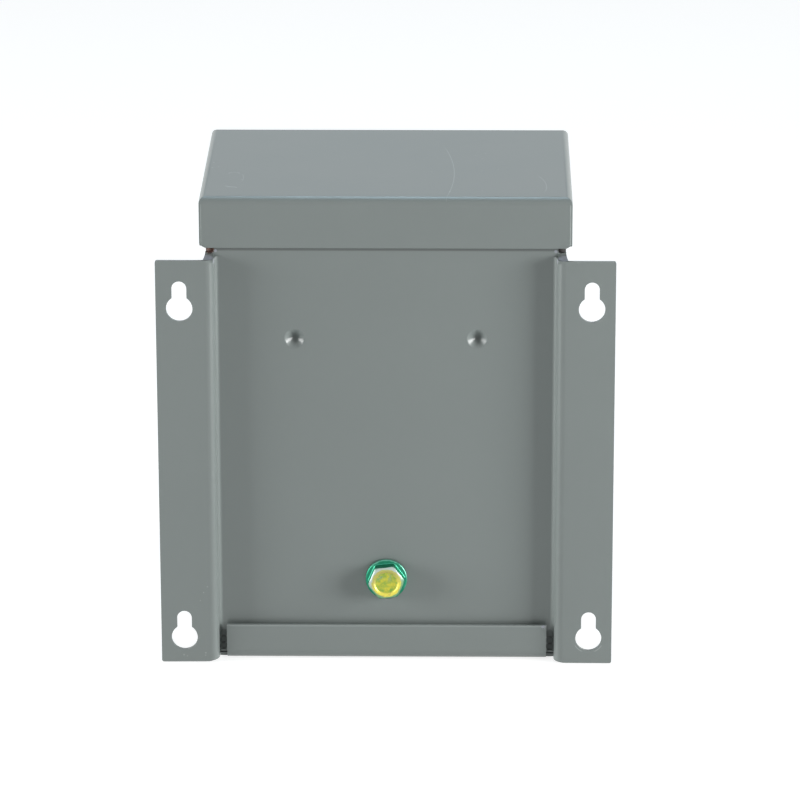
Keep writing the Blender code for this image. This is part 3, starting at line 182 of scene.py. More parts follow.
def new_group(name, inputs, outputs):
    """Node group with a Place, named inputs by their first values, and named outputs."""
    tree = bpy.data.node_groups.new(name, 'ShaderNodeTree')

    def socket(label, in_out, kind):
        return tree.interface.new_socket(label, in_out=in_out, socket_type=f"NodeSocket{kind}")

    for label, value in {"Place": (0.0, 0.0, 0.0), **inputs}.items():
        kind = "Float" if isinstance(value, float) else "Vector" if len(value) == 3 else "Color"
        socket(label, 'INPUT', kind).default_value = value
    for label in outputs:
        socket(label, 'OUTPUT', "Color" if label == "Colour" else "Float")
    given = tree.nodes.new('NodeGroupInput').outputs
    print("group", name, "gives", outputs)
    return Bench(tree), given["Place"], given, tree.nodes.new('NodeGroupOutput').inputs


# %% [markdown]
# ## Group: orange peel
#
# Sprayed and baked enamel never dries quite flat.  It keeps a ripple about a millimetre across, with
# a finer one on top.  A displacement would need millions of faces for that, so the ripple is a height
# for a Bump node.  Paint, resin and rubber share the group at different sizes.

# %% Build the orange peel group
FINER = 3.7
bench, place, given, out = new_group("surface_ripple", {"Size": 1.0, "Fine share": 0.4}, ["Height"])
ripple_scale = bench.over(1.0 / MM, given["Size"])
broad = bench.noise(place, ripple_scale, 1.0)
fine = bench.noise(place, bench.times(ripple_scale, FINER), 1.0)
bench.feed(out["Height"], bench.grow(fine, given["Fine share"], broad))
SURFACE_RIPPLE = bench.tree

# %% [markdown]
# ## Group: tone
#
# No coat of paint, resin or plating has one flat colour.  This group drifts a colour lighter and
# darker in soft patches some centimetres wide and in smaller ones inside them.  The same drift
# comes out as a value, so that the gloss can follow it.

# %% Build the tone group
FLECK_SCALE, FLECK_SHARE = 9.0, 0.35
bench, place, given, out = new_group("tone_drift", {"Colour": (0.5, 0.5, 0.5, 1.0), "Patch size": 40.0,
                                                    "Range": 0.06}, ["Colour", "Drift"])
patch_scale = bench.over(1.0 / MM, given["Patch size"])
patches = bench.noise(place, patch_scale)
flecks = bench.noise(place, bench.times(patch_scale, FLECK_SCALE), 3.0)
drift = bench.minus(bench.grow(flecks, FLECK_SHARE, patches), (1 + FLECK_SHARE) / 2)
bench.feed(out["Colour"], bench.vector('SCALE', given["Colour"], bench.grow(drift, given["Range"], 1.0)))
bench.feed(out["Drift"], drift)
TONE_DRIFT = bench.tree

# %% [markdown]
# ## Group: specks
#
# Dust that settled in the wet coat and sand in resin are both small scattered marks.  Voronoi cells
# place one mark each, and a random share of the cells keeps its mark.

# %% Build the specks group
bench, place, given, out = new_group("scattered_specks", {"Cell size": 4.0, "Share": 0.2,
                                                          "Spot size": 0.12}, ["Mask"])
cell = bench.add('TexVoronoi', {"Vector": place, "Scale": bench.over(1.0 / MM, given["Cell size"])}).outputs
chance = bench.add('SeparateColor', {"Color": cell["Color"]}).outputs["Red"]
spot = bench.minus(1.0, bench.over(cell["Distance"], given["Spot size"]), clamp=True)
bench.feed(out["Mask"], bench.times(bench.maths('LESS_THAN', chance, given["Share"]), spot))
SCATTERED_SPECKS = bench.tree

# %% [markdown]
# ## Group: edge rub
#
# Handling thins a coat first where two faces meet.  A Bevel node gives the normal that a rounder edge
# would have, and where it differs from the true one there is an edge.  Noise breaks the line up, so
# that it looks rubbed and not drawn.

# %% Build the edge rub group
bench, place, given, out = new_group("edge_rub", {"Width": 0.4 * MM, "Amount": 0.5}, ["Mask"])
rounded = bench.add('Bevel', {"Radius": given["Width"]}, samples=4).outputs["Normal"]
true_normal = bench.add('NewGeometry').outputs["Normal"]
turned_away = bench.minus(1.0, bench.vector('DOT_PRODUCT', rounded, true_normal))
broken = bench.times(bench.ramp(turned_away, 0.02, 0.20), bench.cloud(place, 420.0, 0.42, 0.66, 4.0, 0.7))
bench.feed(out["Mask"], bench.times(broken, given["Amount"], clamp=True))
EDGE_RUB = bench.tree

# %% [markdown]
# ## Group: arc mark
#
# A part that swings on a finger, a washer or a shelf edge draws an arc.  This group gives a thin arc
# round a centre, between two angles, that fades at its ends.  A very large radius gives a nearly
# straight scratch, a small one gives the mark of a screw head, and no radius gives a dot.

# %% Build the arc mark group
MARK_REACH = 1.5 * MM
bench, place, given, out = new_group("arc_mark", {"Centre": (0.0, 0.0, 0.0), "Radius": 10 * MM,
                                                  "Heading": 0.0, "Half sweep": 0.5,
                                                  "Half width": 0.2 * MM}, ["Mask"])
x, y, z = bench.split(bench.vector('SUBTRACT', place, given["Centre"]))
reach = bench.maths('SQRT', bench.maths('ADD', bench.maths('POWER', x, 2.0), bench.maths('POWER', y, 2.0)))
aside = bench.maths('ABSOLUTE', bench.minus(reach, given["Radius"]))
across = bench.ramp(bench.over(aside, given["Half width"]), 1.0, 0.2)
turn = bench.minus(bench.maths('ARCTAN2', y, x), given["Heading"])
turn = bench.maths('ABSOLUTE', bench.maths('WRAP', turn, math.pi, -math.pi))
along = bench.ramp(bench.over(turn, given["Half sweep"]), 1.0, 0.6)
near = bench.maths('LESS_THAN', bench.maths('ABSOLUTE', z), MARK_REACH)
bench.feed(out["Mask"], bench.times(bench.times(across, along), near))
ARC_MARK = bench.tree

# %% [markdown]
# ## Group: stain and painted light
#
# Steel rusts where the coat can't reach, such as inside a bend relief.  The group stains a ball round
# one point, breaks its rim up with noise, and gives both the mask and a rust colour that wanders from
# dark brown to orange.  The same mask also places patches of painted shade and painted highlight.

# %% Build the stain and painted light group
bench, place, given, out = new_group("rust_stain_and_painted_light", {"Centre": (0.0, 0.0, 0.0), "Reach": 2 * MM},
                                     ["Mask", "Colour"])
away = bench.over(bench.vector('DISTANCE', place, given["Centre"]), given["Reach"])
patchy = bench.noise(place, 1400.0, 4.0, 0.65)
bench.feed(out["Mask"], bench.ramp(bench.grow(patchy, 0.8, away), 1.45, 1.1))
bench.feed(out["Colour"], bench.blend(bench.ramp(patchy, 0.40, 0.68), (0.016, 0.010, 0.009),
                                       (0.17, 0.062, 0.032)))
RUST_STAIN_AND_PAINTED_LIGHT = bench.tree

# %% [markdown]
# ## Group: grain lines
#
# Rolled and brushed metal and fibre paper show fine parallel lines.  Noise that is stretched along
# one direction draws them.  The stretch is a vector, so one group serves each of these at its own
# pitch and direction, and an even stretch gives a plain fine grain.

# %% Build the grain group
bench, place, given, out = new_group("grain_lines", {"Stretch": (1000.0, 40.0, 1000.0), "Contrast": 1.0},
                                     ["Height", "Shade"])
lines = bench.noise(bench.vector('MULTIPLY', place, given["Stretch"]), 1.0, 3.0, 0.6)
bench.feed(out["Height"], lines)
bench.feed(out["Shade"], bench.grow(bench.minus(lines, 0.5), given["Contrast"], 1.0))
GRAIN_LINES = bench.tree

# %% [markdown]
# ## Group: even ribs
#
# Turns of enamelled wire and steel laminations repeat at an exact pitch, which noise can't do.
# A sine of the distance along one axis gives a round rib for each turn.

# %% Build the ribs group
bench, place, given, out = new_group("even_ribs", {"Axis": (0.0, 0.0, 1.0), "Pitch": 1.0 * MM},
                                     ["Height", "Valley"])
travel = bench.times(bench.vector('DOT_PRODUCT', place, given["Axis"]), math.pi)
wave = bench.maths('ABSOLUTE', bench.maths('SINE', bench.over(travel, given["Pitch"])))
bench.feed(out["Height"], bench.maths('POWER', wave, 0.5))
bench.feed(out["Valley"], bench.ramp(wave, 0.45, 0.0))
EVEN_RIBS = bench.tree

# %% [markdown]
# ## Starting and ending a material
#
# Each material keeps its own Principled shader, because uniform values such as a metal's share
# belong on its sockets.  The groups only feed what changes over the surface.  Object coordinates
# are in metres and match the model, so every size in a finish is a real size.

# %% Make the coat
class Coat(Bench):
    """A bench for one material, with its shader's inputs and the place on the piece."""

    def __init__(self, name, metallic=0.0, roughness=0.5):
        self.material = bpy.data.materials.new(name)
        self.material.use_nodes = True
        super().__init__(self.material.node_tree)
        self.shader = self.tree.nodes["Principled BSDF"].inputs
        self.shader["Metallic"].default_value = metallic
        self.shader["Roughness"].default_value = roughness
        self.place = self.add('TexCoord').outputs["Object"]

    def group(self, tree, **inputs):
        """Outputs of a node group that is fed the place and what else is named."""
        named = {label.replace("_", " "): value for label, value in inputs.items()}
        return self.add('Group', {"Place": self.place, **named}, node_tree=tree).outputs

    def tone(self, colour, patch_size, span):
        return self.group(TONE_DRIFT, Colour=colour, Patch_size=patch_size, Range=span)

    def finish(self, colour, rough, height, depth, strength=1.0):
        """Feeds the shader; rough may be None where it is the same all over."""
        self.feed(self.shader["Base Color"], colour)
        if rough is not None:
            self.feed(self.shader["Roughness"], rough)
        bump = self.add('Bump', {"Height": height, "Distance": depth, "Strength": strength})
        self.feed(self.shader["Normal"], bump.outputs["Normal"])
        print("finish", self.material.name, "has", len(self.tree.nodes), "nodes")
        return self.material


# %% [markdown]
# ## The grey enamel
#
# The case wears one baked coat of a cool mid grey, a little green, with a low satin gloss.  Every
# painted piece gets the same recipe with its own wear and painted light.  Marks are arc scratches,
# scuffs and pimples.  Stains are rust round a point, and patches of painted shade and painted
# highlight are placed the same way.  A highlight level paints a pale highlight along a top edge, and a
# shade level paints shade over what lies above it, as under the hood's lip.

# %% Make the enamel
ENAMEL = (0.212, 0.240, 0.232)
# The pale rubbed colour below also serves as a painted highlight along a top edge.
ENAMEL_RUBBED_AND_HIGHLIGHT = (0.42, 0.46, 0.45)
ENAMEL_ROUGHNESS = 0.31
# Below: a near-black painted shade, a pale blue-grey painted highlight, and the strengths of a painted
# highlight along a top edge and of painted shade under a lip.
PAINTED_SHADE_COLOUR = (0.012, 0.011, 0.010)
PAINTED_HIGHLIGHT_COLOUR = (0.42, 0.43, 0.50)
RUST = "rust"
DUST_SHADE, DUST_HEIGHT = 0.5, 0.3
EDGE_HIGHLIGHT_STRENGTH, PAINTED_SHADE_STRENGTH = 0.28, 0.40


def enamel(name, marks=(), upright=False, stains_and_painted_light=(), highlight_level=None, painted_shade_level=None):
    """Grey paint; marks are (centre, radius, heading, half sweep, half width, strength).

    Stains and painted light are (tint, centre, reach, strength): RUST takes the rust stain's own
    colours, and the other tints are painted shade and painted highlight.
    """
    coat = Coat(name, roughness=ENAMEL_ROUGHNESS)
    tone = coat.tone(ENAMEL, 38.0, 0.05)
    peel = coat.group(SURFACE_RIPPLE, Size=1.5, Fine_share=0.35)["Height"]
    dust = coat.group(SCATTERED_SPECKS, Cell_size=9.0, Share=0.16, Spot_size=0.035)["Mask"]
    colour = coat.blend(coat.times(dust, DUST_SHADE), tone["Colour"], ENAMEL_RUBBED_AND_HIGHLIGHT)
    height = coat.grow(dust, DUST_HEIGHT, coat.times(peel, 0.10))
    x, y, z = coat.split(coat.place)
    flat = coat.place
    if upright:
        flat = coat.add('CombineXYZ', {"X": x, "Y": z, "Z": y}).outputs["Vector"]
    for centre, radius, heading, half_sweep, half_width, strength in marks:
        mark = coat.group(ARC_MARK, Place=flat, Centre=centre, Radius=radius, Heading=heading,
                          Half_sweep=half_sweep, Half_width=half_width)["Mask"]
        colour = coat.blend(coat.times(mark, strength), colour, ENAMEL_RUBBED_AND_HIGHLIGHT)
        height = coat.grow(mark, strength, height)
    pale_edges = coat.group(EDGE_RUB, Width=0.35 * MM, Amount=0.30)["Mask"]
    # Along a top edge the pale edges also take a painted highlight.
    if highlight_level is not None:
        top_edge_highlight = coat.ramp(z, highlight_level - 0.75 * MM, highlight_level - 0.40 * MM)
        pale_edges = coat.maths('MAXIMUM', pale_edges, coat.times(top_edge_highlight, EDGE_HIGHLIGHT_STRENGTH))
    colour = coat.blend(pale_edges, colour, ENAMEL_RUBBED_AND_HIGHLIGHT)
    # Painted shade over all that lies above a level, as under the hood's lip.
    if painted_shade_level is not None:
        painted_shade_band = coat.times(coat.ramp(z, painted_shade_level - 0.4 * MM, painted_shade_level), PAINTED_SHADE_STRENGTH)
        colour = coat.blend(painted_shade_band, colour, PAINTED_SHADE_COLOUR)
    rough = coat.grow(tone["Drift"], 0.08, ENAMEL_ROUGHNESS)
    # Rust stains, and patches of painted shade and painted highlight, each round a point.
    for tint, centre, reach, strength in stains_and_painted_light:
        stain_and_painted_light = coat.group(RUST_STAIN_AND_PAINTED_LIGHT, Centre=centre, Reach=reach)
        colour = coat.blend(coat.times(stain_and_painted_light["Mask"], strength), colour,
                            stain_and_painted_light["Colour"] if tint == RUST else tint)
        rough = coat.grow(stain_and_painted_light["Mask"], 0.4, rough)
    return coat.finish(colour, rough, height, 0.04 * MM, 0.6)


PAINT = enamel("grey_enamel")

# %% [markdown]
# ## Marks on the hood and the back plate
#
# The hood's top carries one long shallow arc scratch, a squarish scuff near one corner and a short
# curve near the other.  Their places are given in millimetres across and in depth from the wall.
# Three points fix each arc, and a short function turns them into a centre, a radius and a sweep.

# %% Describe the marks
FADED_ENDS = 1.15
ALL_ROUND = 10.0


def arc_through(points, half_width, strength):
    """Arc mark on the hood's top through three (x, y) points in metres."""
    (ax, ay), (bx, by), (cx, cy) = points
    twice = 2 * (ax * (by - cy) + bx * (cy - ay) + cx * (ay - by))
    squares = [x * x + y * y for x, y in points]
    ux = (squares[0] * (by - cy) + squares[1] * (cy - ay) + squares[2] * (ay - by)) / twice
    uy = (squares[0] * (cx - bx) + squares[1] * (ax - cx) + squares[2] * (bx - ax)) / twice
    heading = math.atan2(by - uy, bx - ux)
    sweep = max(abs(math.remainder(math.atan2(y - uy, x - ux) - heading, 2 * math.pi))
                for x, y in (points[0], points[2]))
    return ((ux, uy, HOOD_TOP_Z), math.hypot(ax - ux, ay - uy), heading, sweep * FADED_ENDS, half_width,
            strength)


def on_hood(x_mm, depth_mm):
    return (x_mm * MM, WALL_Y - depth_mm * MM)


def dot(place, size_mm, strength, level):
    """Round spot, which is an arc of no radius that goes all the way round."""
    return ((*place, level), 0.0, 0.0, ALL_ROUND, size_mm * MM, strength)


# Half width, strength and three (across, depth) points of each arc, in millimetres.
HOOD_ARCS = (
    (0.22, 0.6, (-22.1, 75.2), (-25.9, 39.6), (-24.1, 11.7)),
    (0.45, 0.8, (61.4, 20.3), (59.4, 19.1), (57.4, 18.7)),
    (0.30, 0.5, (61.0, 37.7), (59.0, 39.3), (56.6, 37.9)),
    (0.28, 0.3, (55.6, 36.7), (54.9, 31.7), (55.3, 26.7)),
    (0.26, 0.45, (-58.4, 34.7), (-60.9, 24.7), (-60.5, 13.3)))
# Across, depth and size of each dot in millimetres, and its strength.
HOOD_DOTS = (
    (57.1, 18.2, 0.5, 0.7), (60.7, 37.9, 0.5, 0.5), (56.9, 37.9, 0.5, 0.5), (55.5, 29.3, 0.5, 0.5),
    (67.5, 53.1, 0.6, 0.5), (67.6, 46.0, 0.6, 0.5), (65.2, 47.2, 0.5, 0.4), (-24.3, 12.9, 0.6, 0.7),
    (-25.7, 31.6, 0.4, 0.6), (-38.0, 67.1, 0.5, 0.4), (-34.1, 64.1, 0.4, 0.4), (-36.8, 59.7, 0.4, 0.4),
    (-36.7, 42.4, 0.4, 0.4), (-42.9, 43.9, 0.4, 0.4), (-17.1, 40.8, 0.4, 0.4), (-36.6, 14.2, 0.5, 0.4))
hood_marks = [arc_through([on_hood(*point) for point in points], half_width_mm * MM, strength)
              for half_width_mm, strength, *points in HOOD_ARCS]
hood_marks += [dot(on_hood(x_mm, depth_mm), size_mm, strength, HOOD_TOP_Z)
               for x_mm, depth_mm, size_mm, strength in HOOD_DOTS]
HOOD_PAINT = enamel("grey_enamel_hood", hood_marks)
print("longest mark has a radius of", round(hood_marks[0][1], 3), "m")

# %% [markdown]
# ## Wear and painted light on the back plate, the case and the base
#
# A screw head has drawn two short arcs beside one lower keyhole.  Rust sits in one bend relief, and
# painted shade darkens the other, where it opens into the dark case.  Painted shade also fills the gaps
# at the ends of the base lip and runs under the hood's lip.  The light here leaves the gaps paler than
# real ones, so the painted shade darkens them.  The small shelves below the reliefs get a painted
# highlight, and so do the base lip's top edge and one spot near its end.

# %% Paint the plate, the case and the base
KEYHOLE_X, KEYHOLE_LOW_Z = 78.5 * MM, 10.3 * MM
RELIEF_X, RELIEF_Z = 66.9 * MM, LIP_FOOT_Z - 1.0 * MM
SLOT_X = 63.7 * MM
LIP_SHADE_Z = LIP_FOOT_Z - 1.2 * MM
# Across, height and size of each dot in millimetres, and its strength.
PLATE_DOTS = (
    (78.9, 2.9, 0.5, 0.5), (77.6, 2.4, 0.4, 0.4), (70.4, 3.7, 0.45, 0.55), (70.5, 2.7, 0.35, 0.5),
    (70.9, 28.8, 0.4, 0.45), (69.4, 31.2, 0.4, 0.4), (72.2, 25.5, 0.35, 0.4))
# Across, depth, drop below the relief and reach of each patch of painted highlight, in millimetres.
HIGHLIGHT_PATCHES = ((68.0, 3.0, 2.4, 2.6), (66.4, 3.2, 3.6, 1.6), (64.7, 5.6, 0.5, 0.8))
BASE_LIP_TOP_Z = 14.4 * MM


def in_relief(side, depth_mm):
    """Place in the bend relief on one side, that far in front of the channel's panel."""
    return (side * RELIEF_X, PANEL_Y - depth_mm * MM, RELIEF_Z)


plate_marks = [((-KEYHOLE_X, KEYHOLE_LOW_Z, WALL_Y), 5.9 * MM, math.radians(heading), 0.38, 0.28 * MM, 0.55)
               for heading in (-48, -132)]
plate_marks += [dot((x_mm * MM, z_mm * MM), size_mm, strength, WALL_Y)
                for x_mm, z_mm, size_mm, strength in PLATE_DOTS]
# Rust in one relief; in the other, painted shade where the relief opens into the dark case.
plate_stains_and_painted_light = [(RUST, in_relief(1, 0.6), 2.1 * MM, 1.0), (PAINTED_SHADE_COLOUR, in_relief(-1, 0.6), 1.7 * MM, 1.0)]
for side in (-1, 1):
    # Painted shade in the gaps at the ends of the base lip.
    plate_stains_and_painted_light += [(PAINTED_SHADE_COLOUR, (side * SLOT_X, PANEL_Y, z_mm * MM), 1.9 * MM, strength)
                     for z_mm, strength in ((2.0, 0.45), (4.6, 0.45), (7.2, 0.40), (9.8, 0.30))]
    # Patches of painted highlight on the small shelves below the reliefs.
    plate_stains_and_painted_light += [(PAINTED_HIGHLIGHT_COLOUR, (side * x_mm * MM, WALL_Y - depth_mm * MM, RELIEF_Z - drop_mm * MM),
                      reach_mm * MM, 0.6)
                     for x_mm, depth_mm, drop_mm, reach_mm in HIGHLIGHT_PATCHES]
# The level under the hood's lip paints shade over the panel above it.
PLATE_PAINT = enamel("grey_enamel_back", plate_marks, upright=True, stains_and_painted_light=plate_stains_and_painted_light,
                     painted_shade_level=LIP_SHADE_Z)
# The case shows rust in one relief and painted shade in the other.
CASE_PAINT = enamel("grey_enamel_case", stains_and_painted_light=[(RUST, in_relief(1, 2.0), 3.2 * MM, 1.0),
                                                (PAINTED_SHADE_COLOUR, in_relief(-1, 2.0), 3.2 * MM, 1.0)])
# A painted highlight spot near the base lip's end, and a painted highlight along its top edge.
base_highlight_speck = (-61.0 * MM, WALL_Y - 2.8 * MM, BASE_LIP_TOP_Z - 0.6 * MM)
BASE_PAINT = enamel("grey_enamel_base", stains_and_painted_light=[(PAINTED_HIGHLIGHT_COLOUR, base_highlight_speck, 0.9 * MM, 0.6)],
                    highlight_level=BASE_LIP_TOP_Z)
print("marks on the plate:", len(plate_marks), "stains on the plate:", len(plate_stains_and_painted_light))

# %% [markdown]
# ## Metals
#
# The screws are bright zinc with a faint blue-yellow passivation.  The blank rating plate is brushed
# aluminium, and lugs and bared strands are tinned copper.  They share one recipe: a drifting tone,
# a second tint in clouds, grain, and paler metal at the edges.

# %% Make the plated and bare metals
def plated(name, colour, tint, roughness, grain):
    coat = Coat(name, metallic=1.0)
    tone = coat.tone(colour, 5.0, 0.25)
    lines = coat.group(GRAIN_LINES, Stretch=grain, Contrast=0.25)
    shade = coat.vector('SCALE', tone["Colour"], lines["Shade"])
    tinted = coat.blend(coat.cloud(coat.place, 260.0, 0.40, 0.62, 3.0), shade, tint)
    pale_edges = coat.group(EDGE_RUB, Width=0.25 * MM, Amount=0.6)["Mask"]
    return coat.finish(coat.blend(pale_edges, tinted, (0.72, 0.72, 0.70)), coat.grow(tone["Drift"], 0.3, roughness),
                       lines["Height"], 0.015 * MM)


ZINC = plated("bright_zinc", (0.50, 0.51, 0.49), (0.47, 0.49, 0.53), 0.32, (1100.0, 1100.0, 1100.0))
TINNED = plated("tinned_copper", (0.52, 0.48, 0.42), (0.46, 0.36, 0.27), 0.34, (500.0, 500.0, 2600.0))
ALUMINIUM = plated("brushed_aluminium", (0.58, 0.59, 0.60), (0.54, 0.55, 0.57), 0.30,
                   (60.0, 900.0, 3200.0))

# %% [markdown]
# ## The green ground bolt's finish
#
# The bolt is zinc dyed green, as grounding hardware is.  The dye is a thin clear colour over metal,
# so the colours are mixed by place.  Sides and rims are a deep blue-green.  The dished top took the
# dye badly: it is a mottled yellow-green with a brassy ring at the dish's edge.  Distance from the
# bolt's own axis draws the rings.  Painted light is mixed in by side: the ring is painted brighter on
# its lower side, the zone round it and the hex corners get a painted highlight on the upper side, the
# upper dish gets patches of painted shade, one side of the washer's rim gets a painted highlight, and
# a painted highlight line runs round the foot of the hex.

# %% Make the dyed zinc
BOLT_AXIS = Vector((bolt_middle.x, 0.0, bolt_middle.z))
WASHER_RADIUS, WASHER_HEIGHT = 8.1 * MM, 1.1 * MM
HEX_FLATS, HEX_HEIGHT = 12.6 * MM, 4.4 * MM
HEX_FOOT_Y = bolt_high.y - HEX_HEIGHT + 0.24 * MM


def dyed_zinc(name):
    coat = Coat(name, metallic=0.75)
    x, y, z = coat.split(coat.place)
    flat = coat.add('CombineXYZ', {"X": x, "Z": z}).outputs["Vector"]
    from_axis = coat.vector('SUBTRACT', flat, tuple(BOLT_AXIS))
    wobble = coat.times(coat.minus(coat.noise(coat.place, 700.0, 3.0), 0.5), 1.3 * MM)
    radius = coat.maths('ADD', coat.vector('DISTANCE', flat, tuple(BOLT_AXIS)), wobble)

    def beyond(start_mm, end_mm, inner, outer):
        """Changes one colour into another between two radii."""
        return coat.blend(coat.ramp(radius, start_mm * MM, end_mm * MM), inner, outer)

    # Painted light by side: the brass ring is painted brighter on its lower side, and the zone round it and
    # the hex corners get a painted highlight on the upper side.
    light_side_lean = coat.vector('DOT_PRODUCT', from_axis, (0.3, 0.0, 0.95))
    painted_light_side = coat.ramp(light_side_lean, -3.0 * MM, 3.0 * MM)
    green = coat.tone((0.016, 0.23, 0.130), 3.0, 0.7)["Colour"]
    top = coat.blend(coat.cloud(coat.place, 420.0, 0.36, 0.64, 4.0, 0.6), (0.25, 0.40, 0.070),
                     (0.60, 0.56, 0.060))
    # Darker green patches on the upper side of the dish are painted shade over the mottle.
    mottle_and_painted_shade = coat.times(coat.cloud(coat.place, 330.0, 0.46, 0.62, 3.0, 0.7),
                        coat.ramp(light_side_lean, -1.0 * MM, 2.0 * MM))
    top = coat.blend(coat.times(mottle_and_painted_shade, 0.8), top, (0.16, 0.34, 0.20))
    brass_and_painted_highlight = coat.blend(coat.cloud(coat.place, 900.0, 0.45, 0.75),
                       coat.blend(painted_light_side, (0.80, 0.72, 0.11), (0.46, 0.46, 0.13)), (0.56, 0.44, 0.13))
    top = beyond(4.0, 4.35, top, brass_and_painted_highlight)
    top = beyond(5.5, 5.9, top, coat.blend(painted_light_side, (0.20, 0.38, 0.20), (0.46, 0.54, 0.50)))
    top = beyond(6.4, 7.0, top, coat.blend(painted_light_side, (0.040, 0.22, 0.125), (0.22, 0.36, 0.30)))
    normal_y = coat.split(coat.add('NewGeometry').outputs["Normal"])["Y"]
    on_top = coat.times(coat.ramp(y, bolt_high.y - 1.4 * MM, bolt_high.y - 1.2 * MM),
                        coat.ramp(normal_y, 0.55, 0.80))
    colour = coat.blend(on_top, green, top)
    # A painted highlight on the upper side of the washer's rim.
    highlight_side = coat.ramp(coat.vector('DOT_PRODUCT', from_axis, (-0.6, 0.0, 0.8)), -1.0 * MM, 4.0 * MM)
    washer_rim_highlight = coat.times(coat.ramp(radius, 7.55 * MM, 7.9 * MM), highlight_side)
    colour = coat.blend(coat.times(washer_rim_highlight, 0.6), colour, (0.20, 0.48, 0.38))
    # A painted highlight line round the foot of the hex.
    hex_foot_highlight = coat.times(coat.ramp(y, HEX_FOOT_Y - 0.20 * MM, HEX_FOOT_Y - 0.05 * MM),
                        coat.ramp(y, HEX_FOOT_Y + 0.25 * MM, HEX_FOOT_Y + 0.05 * MM))
    colour = coat.blend(coat.times(hex_foot_highlight, 0.5), colour, (0.10, 0.46, 0.33))
    pale_edges = coat.group(EDGE_RUB, Width=0.3 * MM, Amount=0.8)["Mask"]
    grain = coat.group(GRAIN_LINES, Stretch=(900.0, 900.0, 900.0), Contrast=1.0)["Height"]
    return coat.finish(coat.blend(pale_edges, colour, (0.45, 0.62, 0.52)), coat.grow(grain, 0.25, 0.22),
                       grain, 0.05 * MM)


GREEN_ZINC = dyed_zinc("green_dyed_zinc")
print("bolt axis at", [round(v, 4) for v in BOLT_AXIS])

# %% [markdown]
# ## The finishes inside the case
#
# Nobody sees these with the case shut, but the model can be opened and exported, so each has its own
# finish.  Resin is filled with sand, the laminations and the windings show ribs with dark valleys,
# plastic and rubber have a soft skin, and the insulation is paper with long fibres.

# %% Make the inner finishes
def filled_resin(name):
    coat = Coat(name, roughness=0.72)
    tone = coat.tone((0.040, 0.036, 0.032), 14.0, 0.5)
    sand = coat.group(SCATTERED_SPECKS, Cell_size=0.9, Share=0.5, Spot_size=0.35)["Mask"]
    ripple = coat.group(SURFACE_RIPPLE, Size=1.2, Fine_share=0.8)["Height"]
    return coat.finish(coat.blend(sand, tone["Colour"], (0.16, 0.14, 0.11)), None, ripple, 0.12 * MM)


def moulded(name, colour, roughness, ripple_size, ripple_mm):
    """Plastic or rubber with a soft skin texture."""
    coat = Coat(name)
    tone = coat.tone(colour, 9.0, 0.10)
    ripple = coat.group(SURFACE_RIPPLE, Size=ripple_size, Fine_share=0.5)["Height"]
    return coat.finish(tone["Colour"], coat.grow(tone["Drift"], 0.2, roughness), ripple, ripple_mm * MM)


def stacked(name, colour, valley_colour, axis, pitch_mm, roughness, depth_mm):
    """Laminations or turns of wire: even ribs with darker valleys."""
    coat = Coat(name, metallic=0.9, roughness=roughness)
    ribs = coat.group(EVEN_RIBS, Axis=axis, Pitch=pitch_mm * MM)
    colour = coat.blend(coat.times(ribs["Valley"], 0.8), coat.tone(colour, 12.0, 0.3)["Colour"],
                        valley_colour)
    return coat.finish(colour, None, ribs["Height"], depth_mm * MM)


def fibrous(name, colour, pale, roughness):
    """Paper or fibre board with long pale fibres."""
    coat = Coat(name, roughness=roughness)
    fibres = coat.group(GRAIN_LINES, Stretch=(240.0, 240.0, 1600.0), Contrast=0.5)["Height"]
    colour = coat.blend(coat.ramp(fibres, 0.55, 0.75), coat.tone(colour, 16.0, 0.2)["Colour"], pale)
    return coat.finish(colour, None, fibres, 0.04 * MM)


FINISHES = {
    "sand_filled_resin": filled_resin("sand_filled_resin"),
    "black_rubber": moulded("black_rubber", (0.012, 0.012, 0.012), 0.75, 0.8, 0.05),
    "natural_nylon": moulded("natural_nylon", (0.70, 0.64, 0.48), 0.42, 2.5, 0.03),
    "black_lead": moulded("black_lead_skin", (0.014, 0.014, 0.015), 0.42, 1.6, 0.03),
    "white_lead": moulded("white_lead_skin", (0.64, 0.63, 0.59), 0.45, 1.6, 0.03),
    "green_lead": moulded("green_lead_skin", (0.022, 0.19, 0.050), 0.45, 1.6, 0.03),
    "silicon_steel": stacked("laminated_steel", (0.15, 0.16, 0.18), (0.03, 0.025, 0.022),
                             (0.0, 1.0, 0.0), 0.5, 0.45, 0.06),
    "enamelled_copper": stacked("enamelled_wire", (0.42, 0.12, 0.035), (0.06, 0.014, 0.006),
                                (0.0, 0.0, 1.0), 0.9, 0.28, 0.25),
    "insulating_paper": fibrous("varnished_paper", (0.50, 0.34, 0.15), (0.66, 0.52, 0.30), 0.6),
    "vulcanised_fibre": fibrous("fibre_board", (0.105, 0.088, 0.068), (0.17, 0.15, 0.12), 0.65),
    "tinned_copper": TINNED,
    "zinc_plate": ZINC,
    "blank_aluminium": ALUMINIUM,
    "green_dyed_zinc": GREEN_ZINC,
    "grey_paint": PAINT,
}
print("finishes:", len(FINISHES))

# %% [markdown]
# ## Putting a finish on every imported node
#
# The record says which slot each node belongs to.  A loop gives every node the finish of its slot,
# so that nothing is left bare, and the pieces made below then take the place of some of them.

# %% Give each node its finish
slot_of = {part["node"]: part["material_slot"] for part in frame["record"]["subparts"]}


def wear(item, material):
    """Puts one material on an object, in all its slots."""
    if not item.material_slots:
        item.data.materials.append(material)
    for place in item.material_slots:
        place.material = material


for node, item in frame["nodes"].items():
    wear(item, FINISHES[slot_of[node]])
print("nodes with a finish:", len(frame["nodes"]))

# %% [markdown]
# ## Small tools for making pieces
#
# A piece that is made here must ride on the model's body and hide the imported nodes it stands for.
# One function does both, so no piece can miss one.  It also puts the material on.

